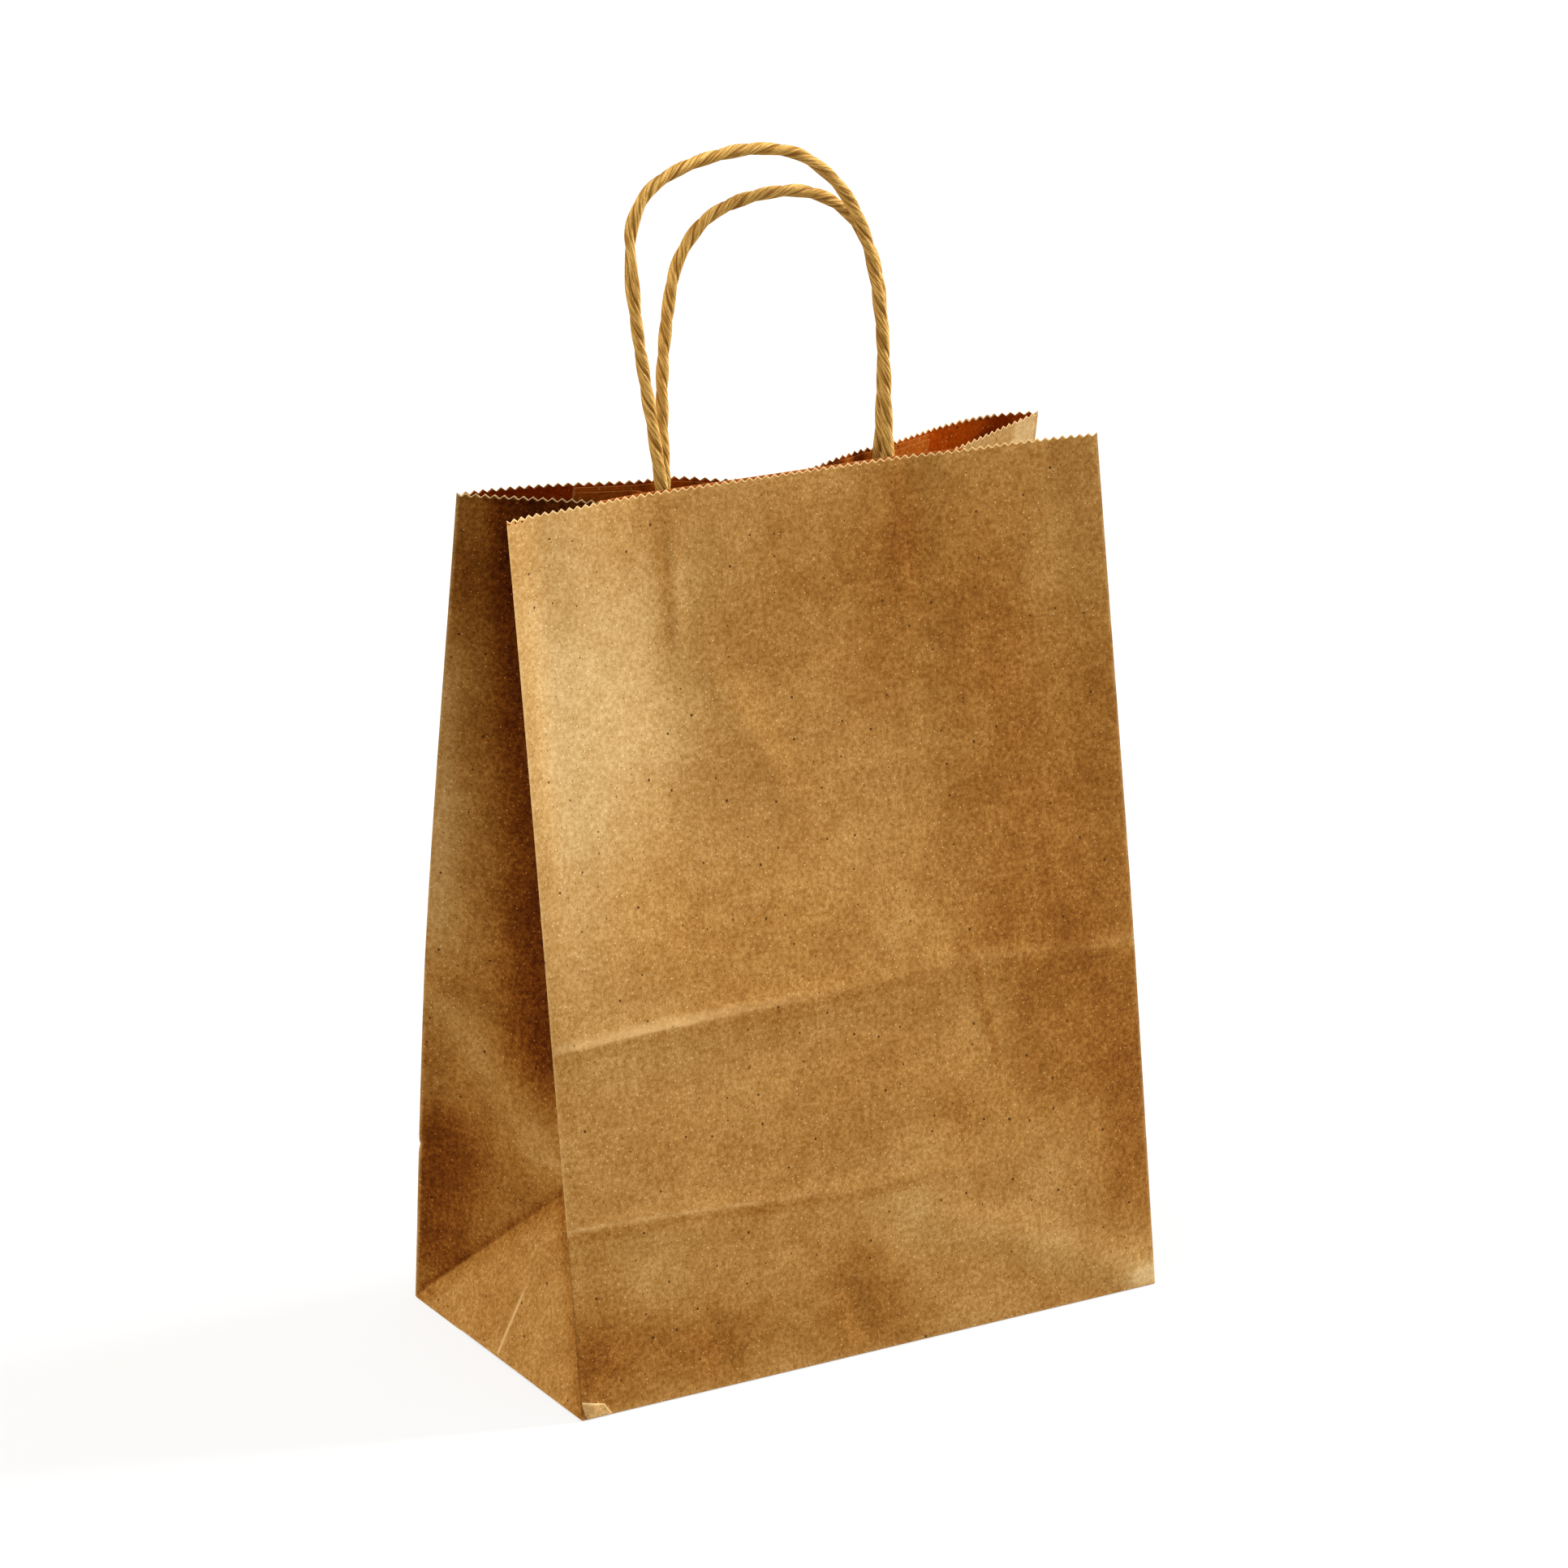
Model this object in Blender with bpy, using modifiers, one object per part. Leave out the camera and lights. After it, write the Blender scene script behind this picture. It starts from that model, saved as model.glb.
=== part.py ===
"""Brown kraft paper carrier bag with twisted paper handles, standing open on its block bottom.

The body is one folded sheet: front, back, two gussets folded inwards and a glued block bottom,
with a pinked (zigzag) rim. Each handle is a two-ply twisted paper cord whose ends are glued
between two strips of stiff paper inside a wall. Metres, +Z up, front wall towards -Y,
origin on the ground under the middle of the bottom.
"""

import bmesh
import bpy
from math import cos, pi, sin, sqrt, tau
from mathutils import Vector

# Bag: the sizes that the paper was folded to
BAG_WIDTH = 0.203
BAG_DEPTH = 0.108
BAG_HEIGHT = 0.267
PAPER = 0.00025
GAP = 0.0003

# Mouth: how far the corners and the walls stand from the middle plane at the rim
FRONT_CORNER_Y = 0.0145
BACK_CORNER_Y = 0.0185
FRONT_WALL_Y = 0.0074
BACK_CORNER_DRAW_IN = 0.0015
FRONT_BOW = 0.0010
BACK_BOW = 0.0040
LEG_CLEARANCE = 0.0006
STRIP_CLEARANCE = 0.0007

# Folds pressed into the walls when the bag was packed flat
CREASE_RUN = 0.009
MAIN_CREASE_RIDGE = 0.0011
LOWER_CREASE_RIDGE = 0.0006

# Pinked rim
TOOTH_PITCH = 0.0028
TOOTH_DEPTH = 0.0011

# Block bottom: flaps folded over each other and glued
FLAP_REACH = 0.066
FLAP_CORNER_CUT = 0.030
FLAP_BITE = 0.00006

# Handles: twisted paper cord between two glued strips
CORD_DIAMETER = 0.0039
CORD_WAIST = 0.0030
TWIST_PITCH = 0.017
CORD_STEP = 0.0028
CORD_TUCK = 0.046
STRIP = 0.00025
STRIP_WIDTH = 0.125
STRIP_HEIGHT = 0.050
STRIP_EDGE = 0.0016
COVER_HALF_WIDTH = 0.0027
COVER_RAMP = 0.0060
FRONT_LEGS = (-0.0448, 0.0326)
BACK_LEGS = (-0.0409, 0.0334)

# Free loops above the rim, left to right: across, towards the back from the middle plane, above the rim
FRONT_LOOP = (
    (-0.0472, -0.0039, 0.0170),
    (-0.0500, -0.0033, 0.0351),
    (-0.0520, -0.0029, 0.0500),
    (-0.0533, -0.0024, 0.0660),
    (-0.0526, -0.0020, 0.0775),
    (-0.0472, -0.0017, 0.0868),
    (-0.0370, -0.0015, 0.0923),
    (-0.0240, -0.0014, 0.0952),
    (-0.0110, -0.0014, 0.0959),
    (0.0020, -0.0015, 0.0934),
    (0.0112, -0.0017, 0.0877),
    (0.0180, -0.0019, 0.0808),
    (0.0234, -0.0022, 0.0718),
    (0.0274, -0.0025, 0.0605),
    (0.0300, -0.0029, 0.0470),
    (0.0314, -0.0034, 0.0320),
    (0.0321, -0.0039, 0.0150),
)
BACK_LOOP = (
    (-0.0411, 0.0016, 0.0180),
    (-0.0408, 0.0020, 0.0320),
    (-0.0394, 0.0024, 0.0450),
    (-0.0367, 0.0028, 0.0600),
    (-0.0325, 0.0031, 0.0690),
    (-0.0250, 0.0034, 0.0766),
    (-0.0150, 0.0036, 0.0806),
    (-0.0030, 0.0038, 0.0822),
    (0.0085, 0.0039, 0.0813),
    (0.0190, 0.0039, 0.0768),
    (0.0270, 0.0038, 0.0690),
    (0.0325, 0.0036, 0.0570),
    (0.0348, 0.0033, 0.0420),
    (0.0350, 0.0028, 0.0270),
    (0.0343, 0.0023, 0.0130),
)

# How finely the sheet is divided
COLUMN_STEP = 0.0075
HALF_GUSSET_COLUMNS = 4
ROWS_TO_APEX = 4
ROWS_BELOW_STRIP = 5
STRIP_ROWS = 3
CORD_SIDES = 8
MERGE = 0.00001

# Worked out from the sizes above
HALF_WIDTH = BAG_WIDTH / 2
HALF_DEPTH = BAG_DEPTH / 2
FLOOR_Z = 2.5 * PAPER - 2 * FLAP_BITE
FLAT_STACK = PAPER / 2 + GAP + STRIP + GAP + STRIP
LEG_STACK = FLAT_STACK + CORD_DIAMETER + GAP
FRONT, BACK = -1, 1
LEFT, RIGHT = -1, 1


def smooth(share):
    """Ease from 0 to 1."""
    share = min(max(share, 0.0), 1.0)
    return share * share * (3 - 2 * share)


def through(points, x):
    """Height at x of a smooth line through (x, height) points in rising order."""
    last = len(points) - 1
    if x <= points[0][0]:
        return points[0][1]
    if x >= points[last][0]:
        return points[last][1]
    k = max(i for i in range(last) if points[i][0] <= x)

    def slope(i):
        a, b = points[max(i - 1, 0)], points[min(i + 1, last)]
        return (b[1] - a[1]) / (b[0] - a[0])

    (x0, y0), (x1, y1) = points[k], points[k + 1]
    run = x1 - x0
    t = (x - x0) / run
    return (
        y0 * (1 + 2 * t) * (1 - t) ** 2
        + slope(k) * run * t * (1 - t) ** 2
        + y1 * t * t * (3 - 2 * t)
        + slope(k + 1) * run * t * t * (t - 1)
    )


def rim_outline(side):
    """The wall's line along the rim, seen from above, as (x, y) points."""
    if side == FRONT:
        left = min(FRONT_LEGS) - COVER_HALF_WIDTH
        right = max(FRONT_LEGS) + COVER_HALF_WIDTH
        return (
            (-HALF_WIDTH, -FRONT_CORNER_Y),
            (left - 0.5 * (left + HALF_WIDTH), -0.45 * FRONT_CORNER_Y - 0.55 * FRONT_WALL_Y),
            (left, -FRONT_WALL_Y),
            (right, -FRONT_WALL_Y),
            (right + 0.5 * (HALF_WIDTH - right), -0.45 * FRONT_CORNER_Y - 0.55 * FRONT_WALL_Y),
            (HALF_WIDTH, -FRONT_CORNER_Y),
        )
    at_legs = -FRONT_WALL_Y + 2 * LEG_STACK + LEG_CLEARANCE
    pinched = -FRONT_WALL_Y + 2 * FLAT_STACK + STRIP_CLEARANCE
    rise = BACK_CORNER_Y - at_legs
    left = min(FRONT_LEGS[0], BACK_LEGS[0]) - COVER_HALF_WIDTH
    right = max(FRONT_LEGS[1], BACK_LEGS[1]) + COVER_HALF_WIDTH
    left_inner = max(FRONT_LEGS[0], BACK_LEGS[0]) + COVER_HALF_WIDTH
    right_inner = min(FRONT_LEGS[1], BACK_LEGS[1]) - COVER_HALF_WIDTH
    run = right_inner - left_inner
    left_run = left + HALF_WIDTH
    right_run = HALF_WIDTH - right
    return (
        (-HALF_WIDTH, BACK_CORNER_Y),
        (left - 0.78 * left_run, at_legs + 0.96 * rise),
        (left - 0.45 * left_run, at_legs + 0.68 * rise),
        (left - 0.18 * left_run, at_legs + 0.28 * rise),
        (left, at_legs + 0.06 * rise),
        (left_inner, at_legs),
        (left_inner + 0.30 * run, pinched),
        (left_inner + 0.58 * run, pinched),
        (left_inner + 0.82 * run, pinched + 0.45 * (at_legs - pinched)),
        (right_inner, at_legs),
        (right, at_legs + 0.06 * rise),
        (right + 0.22 * right_run, at_legs + 0.45 * rise),
        (right + 0.45 * right_run, at_legs + 0.88 * rise),
        (right + 0.78 * right_run, at_legs + 1.10 * rise),
        (HALF_WIDTH, BACK_CORNER_Y),
    )


RIM = {side: rim_outline(side) for side in (FRONT, BACK)}


def crease(s):
    """How far the pressed folds push a wall outwards at sheet height s."""
    main = max(0.0, 1 - abs(s - BAG_DEPTH) / CREASE_RUN)
    lower = max(0.0, 1 - abs(s - HALF_DEPTH) / CREASE_RUN)
    return MAIN_CREASE_RIDGE * main + LOWER_CREASE_RIDGE * lower


def wall_point(side, x, s):
    """Middle of a wall's paper: x across the flat sheet, s up it from the bottom fold."""
    corner = FRONT_CORNER_Y if side == FRONT else BACK_CORNER_Y
    bow = FRONT_BOW if side == FRONT else BACK_BOW
    share = s / BAG_HEIGHT
    drawn = smooth((s - BAG_DEPTH) / (BAG_HEIGHT - BAG_DEPTH))
    inner = smooth((HALF_WIDTH - abs(x)) / CREASE_RUN)
    y = side * (HALF_DEPTH + (corner - HALF_DEPTH) * share + bow * sin(pi * share))
    y += (through(RIM[side], x) - side * corner) * drawn
    y += side * crease(s) * inner
    lean = (HALF_DEPTH - corner) / BAG_HEIGHT
    narrowed = 1.0
    if side == BACK:
        narrowed -= drawn * BACK_CORNER_DRAW_IN / HALF_WIDTH
    return Vector((x * narrowed, y, FLOOR_Z + s * sqrt(1 - lean * lean)))


def wall_inwards(side, x, s, distance):
    """A point at a distance from the middle of a wall's paper, square to it, inside the bag."""
    step = CREASE_RUN / 4
    across = wall_point(side, x + step, s) - wall_point(side, x - step, s)
    up = wall_point(side, x, s + step) - wall_point(side, x, s - step)
    normal = across.cross(up).normalized() * (1 if side == BACK else -1)
    if normal.y * side > 0:
        normal = -normal
    return wall_point(side, x, s) + normal * distance


def apex_lean():
    """Angle that the gusset's bottom triangle leans inwards, so that no paper stretches."""
    front = wall_point(FRONT, HALF_WIDTH, HALF_DEPTH)
    back = wall_point(BACK, HALF_WIDTH, HALF_DEPTH)
    half_open = (back.y - front.y) / 2
    height = (front.z + back.z) / 2 - FLOOR_Z
    cosine = (height ** 2 + half_open ** 2) / (2 * height * HALF_DEPTH)
    return cosine, sqrt(1 - cosine ** 2)


APEX_COS, APEX_SIN = apex_lean()


def crease_point(end, s):
    """The gusset's middle crease at sheet height s, from the apex of the triangle up."""
    front = wall_point(FRONT, end * HALF_WIDTH, s)
    back = wall_point(BACK, end * HALF_WIDTH, s)
    apex_front = wall_point(FRONT, HALF_WIDTH, HALF_DEPTH)
    apex_back = wall_point(BACK, HALF_WIDTH, HALF_DEPTH)
    half_open = (back.y - front.y) / 2
    drop = (apex_front.z + apex_back.z) / 2 - FLOOR_Z - HALF_DEPTH * APEX_COS
    inset = sqrt(max(HALF_DEPTH ** 2 - half_open ** 2 - drop ** 2, 0.0))
    middle = (front.y + back.y) / 2 - (apex_front.y + apex_back.y) / 2
    x = (front.x + back.x) / 2 - end * inset
    return Vector((x, middle, (front.z + back.z) / 2 - drop))


def triangle_point(end, w, s):
    """The gusset's bottom triangle, which leans in from the end of the bottom."""
    return Vector((end * (HALF_WIDTH - s * APEX_SIN), w - HALF_DEPTH, FLOOR_Z + s * APEX_COS))


def gusset_point(end, w, s):
    """Middle of a gusset's paper: w along it from the front corner, s up the sheet."""
    side = FRONT if w < HALF_DEPTH else BACK
    run = min(w, BAG_DEPTH - w)
    if s <= run:
        return triangle_point(end, w, s)
    edge = wall_point(side, end * HALF_WIDTH, s)
    if s >= HALF_DEPTH:
        inner = crease_point(end, s)
        return edge.lerp(inner, run / HALF_DEPTH)
    inner = triangle_point(end, s if side == FRONT else BAG_DEPTH - s, s)
    return edge.lerp(inner, run / s)


def sheet_rows():
    """Sheet heights of the rows: square cells up to the apex, then wider ones with both creases."""
    rows = [HALF_DEPTH * k / ROWS_TO_APEX for k in range(ROWS_TO_APEX + 1)]
    rows += [HALF_DEPTH + CREASE_RUN, BAG_DEPTH - CREASE_RUN, BAG_DEPTH, BAG_DEPTH + CREASE_RUN]
    start = rows[-1]
    end = BAG_HEIGHT - STRIP_EDGE - STRIP_HEIGHT
    rows += [start + (end - start) * k / ROWS_BELOW_STRIP for k in range(1, ROWS_BELOW_STRIP + 1)]
    rows += strip_rows()[1:-1]
    return rows + [BAG_HEIGHT]


def strip_rows():
    """Sheet heights of the rows behind a handle's strips."""
    bottom = BAG_HEIGHT - STRIP_EDGE - STRIP_HEIGHT
    return [bottom + STRIP_HEIGHT * k / STRIP_ROWS for k in range(STRIP_ROWS + 1)]


def strip_marks(legs):
    """Places across a wall that matter to its handle: the strips' ends and each cord's cover."""
    middle = sum(legs) / 2
    marks = [middle - STRIP_WIDTH / 2, middle + STRIP_WIDTH / 2]
    for leg in legs:
        for reach in (COVER_HALF_WIDTH, COVER_HALF_WIDTH + COVER_RAMP / 2, COVER_HALF_WIDTH + COVER_RAMP):
            marks += [leg - reach, leg + reach]
    return sorted(marks)


def wall_columns(legs):
    """Places across a wall, left to right, that its columns and its strips share."""
    marks = [-HALF_WIDTH] + strip_marks(legs) + [HALF_WIDTH]
    columns = [marks[0]]
    for a, b in zip(marks, marks[1:]):
        pieces = max(1, round((b - a) / COLUMN_STEP))
        columns += [a + (b - a) * k / pieces for k in range(1, pieces + 1)]
    return columns


def sheet_columns():
    """Columns round the tube, as (distance round it, function of s): front, gusset, back, gusset."""
    gusset = [BAG_DEPTH * k / (2 * HALF_GUSSET_COLUMNS) for k in range(2 * HALF_GUSSET_COLUMNS + 1)]
    columns = []
    for x in wall_columns(FRONT_LEGS)[:-1]:
        columns.append((HALF_WIDTH + x, lambda s, x=x: wall_point(FRONT, x, s)))
    for w in gusset[:-1]:
        columns.append((BAG_WIDTH + w, lambda s, w=w: gusset_point(RIGHT, w, s)))
    for x in wall_columns(BACK_LEGS)[:0:-1]:
        columns.append((BAG_WIDTH + BAG_DEPTH + HALF_WIDTH - x, lambda s, x=x: wall_point(BACK, x, s)))
    for w in gusset[::-1]:
        columns.append((2 * (BAG_WIDTH + BAG_DEPTH) - w, lambda s, w=w: gusset_point(LEFT, w, s)))
    return columns


def clear_scene():
    """Remove what the file opened with."""
    for item in list(bpy.data.objects):
        bpy.data.objects.remove(item, do_unlink=True)


def new_collection(name):
    """A collection linked to the scene."""
    made = bpy.data.collections.new(name)
    bpy.context.scene.collection.children.link(made)
    return made


def paper_material(name, colour, roughness):
    """Plain uncoated paper."""
    made = bpy.data.materials.new(name)
    made.use_nodes = True
    shader = made.node_tree.nodes["Principled BSDF"]
    shader.inputs["Base Color"].default_value = (*colour, 1.0)
    shader.inputs["Roughness"].default_value = roughness
    shader.inputs["Metallic"].default_value = 0.0
    return made


def add_mesh(name, bm, collection, material):
    """Turn a bmesh into a named object."""
    mesh = bpy.data.meshes.new(name)
    bm.to_mesh(mesh)
    bm.free()
    mesh.materials.append(material)
    item = bpy.data.objects.new(name, mesh)
    collection.objects.link(item)
    return item


def thicken(item, thickness):
    """Give a sheet its thickness, half on each side."""
    solid = item.modifiers.new("thickness", "SOLIDIFY")
    solid.thickness = thickness
    solid.offset = 0.0
    return solid


def join_body(item, other):
    """Fuse a closed body into another and keep it out of the model."""
    union = item.modifiers.new("glue " + other.name, "BOOLEAN")
    union.operation = "UNION"
    union.object = other
    other.hide_render = True
    other.display_type = "WIRE"


def fold_diagonals(bm, grid, first_column):
    """Split every square cell of a gusset's foot along the direction of its slanting folds."""
    for j in range(ROWS_TO_APEX):
        for k in range(HALF_GUSSET_COLUMNS):
            near = first_column + k
            far = first_column + 2 * HALF_GUSSET_COLUMNS - k
            bmesh.ops.connect_vert_pair(bm, verts=[grid[j][near], grid[j + 1][near + 1]])
            bmesh.ops.connect_vert_pair(bm, verts=[grid[j][far], grid[j + 1][far - 1]])


def pink_rim(bm, top):
    """Cut the rim into even teeth: top holds its vertices with their distance round the tube."""
    around = 2 * (BAG_WIDTH + BAG_DEPTH)
    half_pitch = around / round(around / TOOTH_PITCH) / 2
    for (start, a), (end, b) in list(zip(top, top[1:])):
        first = int(a / half_pitch) + 1
        places = [k * half_pitch for k in range(first, int(b / half_pitch) + 1)]
        for place in places:
            if min(place - a, b - place) < half_pitch / 8:
                continue
            edge = bm.edges.get((start, end))
            done = top_distance(top, start)
            _, start = bmesh.utils.edge_split(edge, start, (place - done) / (b - done))
            top.append((start, place))
    for vert, place in {item[0]: item for item in top}.values():
        wave = place / half_pitch % 2
        vert.co.z -= TOOTH_DEPTH * min(wave, 2 - wave)


def top_distance(top, vert):
    """Distance round the tube of a rim vertex."""
    return next(place for known, place in top if known == vert)


def make_body(collection, cutters, material):
    """The folded sheet: a flat grid folded into walls, gussets and bottom, then given thickness."""
    rows = sheet_rows()
    columns = sheet_columns()
    bm = bmesh.new()
    bmesh.ops.create_grid(bm, x_segments=len(columns) - 1, y_segments=len(rows) - 1, size=1.0)
    grid = [[None] * len(columns) for _ in rows]
    for vert in bm.verts:
        i = round((vert.co.x + 1) / 2 * (len(columns) - 1))
        j = round((vert.co.y + 1) / 2 * (len(rows) - 1))
        grid[j][i] = vert
    fold_diagonals(bm, grid, len(wall_columns(FRONT_LEGS)) - 1)
    fold_diagonals(bm, grid, len(columns) - 1 - 2 * HALF_GUSSET_COLUMNS)
    for j, s in enumerate(rows):
        for i, (_, place) in enumerate(columns):
            grid[j][i].co = place(s)
    pink_rim(bm, [(vert, around) for vert, (around, _) in zip(grid[-1], columns)])
    bmesh.ops.remove_doubles(bm, verts=bm.verts, dist=MERGE)
    lower = [e for e in bm.edges if e.is_boundary and max(v.co.z for v in e.verts) < FLOOR_Z + MERGE]
    bmesh.ops.holes_fill(bm, edges=lower, sides=0)
    bmesh.ops.recalc_face_normals(bm, faces=bm.faces)
    body = add_mesh("bag_body", bm, collection, material)
    thicken(body, PAPER)
    layer = PAPER - FLAP_BITE
    for name, side, level in (("inner_flap", FRONT, 1), ("outer_flap", BACK, 0)):
        flap = bottom_flap(name, side, level * layer, cutters, material)
        join_body(body, flap)
    return body


def bottom_flap(name, side, low, collection, material):
    """One long flap of the bottom: its end corners are cut back where the gussets fold under."""
    inset = PAPER / 2
    far = side * (HALF_DEPTH - inset)
    near = side * (HALF_DEPTH - FLAP_REACH)
    corner = HALF_WIDTH - inset
    bm = bmesh.new()
    outline = [
        bm.verts.new((x, y, low))
        for x, y in (
            (-corner, far),
            (corner, far),
            (corner, far - side * FLAP_CORNER_CUT),
            (corner - FLAP_CORNER_CUT, near),
            (FLAP_CORNER_CUT - corner, near),
            (-corner, far - side * FLAP_CORNER_CUT),
        )
    ]
    face = bm.faces.new(outline)
    raised = bmesh.ops.extrude_face_region(bm, geom=[face])
    top = [v for v in raised["geom"] if isinstance(v, bmesh.types.BMVert)]
    bmesh.ops.translate(bm, vec=(0, 0, PAPER), verts=top)
    bmesh.ops.recalc_face_normals(bm, faces=bm.faces)
    return add_mesh(name, bm, collection, material)


def cord_cover(x, legs):
    """How far the inner strip lifts off the outer one at x, to pass over a cord."""
    away = min(abs(x - leg) for leg in legs) - COVER_HALF_WIDTH
    return (CORD_DIAMETER + GAP) * (1 - smooth(away / COVER_RAMP))


def make_strip(name, side, legs, covers_cord, collection, material):
    """One glued strip: laid against the wall, or over the cord ends."""
    marks = strip_marks(legs)
    columns = [x for x in wall_columns(legs) if marks[0] - MERGE < x < marks[-1] + MERGE]
    rows = strip_rows()
    distance = PAPER / 2 + GAP + STRIP / 2
    bm = bmesh.new()
    bmesh.ops.create_grid(bm, x_segments=len(columns) - 1, y_segments=STRIP_ROWS, size=1.0)
    for vert in bm.verts:
        x = columns[round((vert.co.x + 1) / 2 * (len(columns) - 1))]
        s = rows[round((vert.co.y + 1) / 2 * STRIP_ROWS)]
        off = distance
        if covers_cord:
            off += GAP + STRIP + cord_cover(x, legs)
        vert.co = wall_inwards(side, x, s, off)
    bmesh.ops.recalc_face_normals(bm, faces=bm.faces)
    strip = add_mesh(name, bm, collection, material)
    thicken(strip, STRIP)
    return strip


def cord_profile(name, collection):
    """Section of two twisted plies: wide across both, with a waist between them."""
    curve = bpy.data.curves.new(name, "CURVE")
    curve.dimensions = "2D"
    spline = curve.splines.new("POLY")
    spline.points.add(CORD_SIDES - 1)
    spline.use_cyclic_u = True
    mean = (CORD_DIAMETER + CORD_WAIST) / 4
    swing = (CORD_DIAMETER - CORD_WAIST) / 4
    for k, point in enumerate(spline.points):
        angle = -tau * k / CORD_SIDES
        radius = mean + swing * cos(2 * angle)
        point.co = (radius * cos(angle), radius * sin(angle), 0.0, 1.0)
    item = bpy.data.objects.new(name, curve)
    item.hide_render = True
    item.display_type = "WIRE"
    collection.objects.link(item)
    return item


def spread(points, spacing):
    """Evenly spaced points on a smooth curve through the given ones."""
    dense = []
    last = len(points) - 1
    for k in range(last):
        before, start, end, after = (points[min(max(i, 0), last)] for i in (k - 1, k, k + 1, k + 2))
        for n in range(16):
            t = n / 16
            dense.append(
                0.5
                * (
                    2 * start
                    + (end - before) * t
                    + (2 * before - 5 * start + 4 * end - after) * t * t
                    + (3 * start - before - 3 * end + after) * t * t * t
                )
            )
    dense.append(points[last])
    lengths = [0.0]
    for a, b in zip(dense, dense[1:]):
        lengths.append(lengths[-1] + (b - a).length)
    count = max(2, round(lengths[-1] / spacing))
    route = []
    k = 0
    for n in range(count + 1):
        want = lengths[-1] * n / count
        while k < len(lengths) - 2 and lengths[k + 1] < want:
            k += 1
        span = lengths[k + 1] - lengths[k]
        route.append(dense[k].lerp(dense[k + 1], (want - lengths[k]) / span))
    return route


def cord_route(side, legs, loop):
    """The cord's centre line: up between the strips, round the free loop and down again."""
    distance = PAPER / 2 + GAP + STRIP + GAP + CORD_DIAMETER / 2
    levels = [BAG_HEIGHT - CORD_TUCK * share for share in (1.0, 0.75, 0.5, 0.25, 0.0)]
    rim_z = wall_point(side, 0.0, BAG_HEIGHT).z
    left = [wall_inwards(side, legs[0], s, distance) for s in levels]
    right = [wall_inwards(side, legs[1], s, distance) for s in reversed(levels)]
    free = [Vector((x, y, rim_z + rise)) for x, y, rise in loop]
    return spread(left + free + right, CORD_STEP)


def make_handle(name, side, legs, loop, profile, collection, material):
    """A two-ply twisted paper cord along its route."""
    route = cord_route(side, legs, loop)
    curve = bpy.data.curves.new(name, "CURVE")
    curve.dimensions = "3D"
    curve.twist_mode = "MINIMUM"
    curve.bevel_mode = "OBJECT"
    curve.bevel_object = profile
    curve.use_fill_caps = True
    spline = curve.splines.new("POLY")
    spline.points.add(len(route) - 1)
    travelled = 0.0
    for k, (point, place) in enumerate(zip(spline.points, route)):
        if k:
            travelled += (place - route[k - 1]).length
        point.co = (*place, 1.0)
        point.tilt = tau * travelled / TWIST_PITCH
    curve.materials.append(material)
    item = bpy.data.objects.new(name, curve)
    collection.objects.link(item)
    return item


def main():
    """Build the bag."""
    clear_scene()
    bag = new_collection("kraft_carrier_bag")
    guides = new_collection("guides")
    kraft = paper_material("brown kraft paper", (0.44, 0.23, 0.075), 0.82)
    cord = paper_material("twisted kraft paper cord", (0.55, 0.33, 0.12), 0.75)
    stiff = paper_material("stiff kraft strip", (0.38, 0.15, 0.045), 0.85)
    make_body(bag, guides, kraft)
    profile = cord_profile("cord_section", guides)
    handles = (("front", FRONT, FRONT_LEGS, FRONT_LOOP), ("rear", BACK, BACK_LEGS, BACK_LOOP))
    for word, side, legs, loop in handles:
        make_strip(word + "_handle_patch", side, legs, False, bag, stiff)
        make_strip(word + "_handle_backing", side, legs, True, bag, stiff)
        make_handle(word + "_handle", side, legs, loop, profile, bag, cord)


main()
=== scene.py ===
import math

import bmesh
import bpy
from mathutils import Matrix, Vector, noise


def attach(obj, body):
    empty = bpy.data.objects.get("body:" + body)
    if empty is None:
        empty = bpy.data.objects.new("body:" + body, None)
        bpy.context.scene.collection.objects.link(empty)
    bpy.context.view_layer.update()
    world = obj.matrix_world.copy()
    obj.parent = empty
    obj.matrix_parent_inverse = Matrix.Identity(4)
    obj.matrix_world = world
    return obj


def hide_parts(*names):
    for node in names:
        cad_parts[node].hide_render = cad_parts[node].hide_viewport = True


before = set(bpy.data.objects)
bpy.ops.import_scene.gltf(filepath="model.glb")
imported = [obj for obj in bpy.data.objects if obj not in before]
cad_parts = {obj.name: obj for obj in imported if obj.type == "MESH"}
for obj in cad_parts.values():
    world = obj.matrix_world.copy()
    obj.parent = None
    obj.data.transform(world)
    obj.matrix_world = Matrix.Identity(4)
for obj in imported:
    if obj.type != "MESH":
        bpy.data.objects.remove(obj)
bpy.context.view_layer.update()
print("frame loaded:", ", ".join(sorted(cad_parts)))

millimetre = 0.001


def ease(share):
    share = min(max(share, 0.0), 1.0)
    return share * share * (3 - 2 * share)


def hump(distance, reach):
    # 1 on the line, 0 at reach, round on top
    return ease(1 - abs(distance) / reach)


def ridge(distance, reach):
    # 1 on the line, 0 at reach, sharp on top as a fold is
    return max(0.0, 1 - abs(distance) / reach)


def fold(above, up, down):
    # a pressed fold: short and steep above the line, long and gentle below
    return max(0.0, 1 - above / up) if above > 0 else max(0.0, 1 + above / down)


def window(value, low, high, fade):
    return ease((value - low) / fade + 1) * ease((high - value) / fade + 1)


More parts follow.
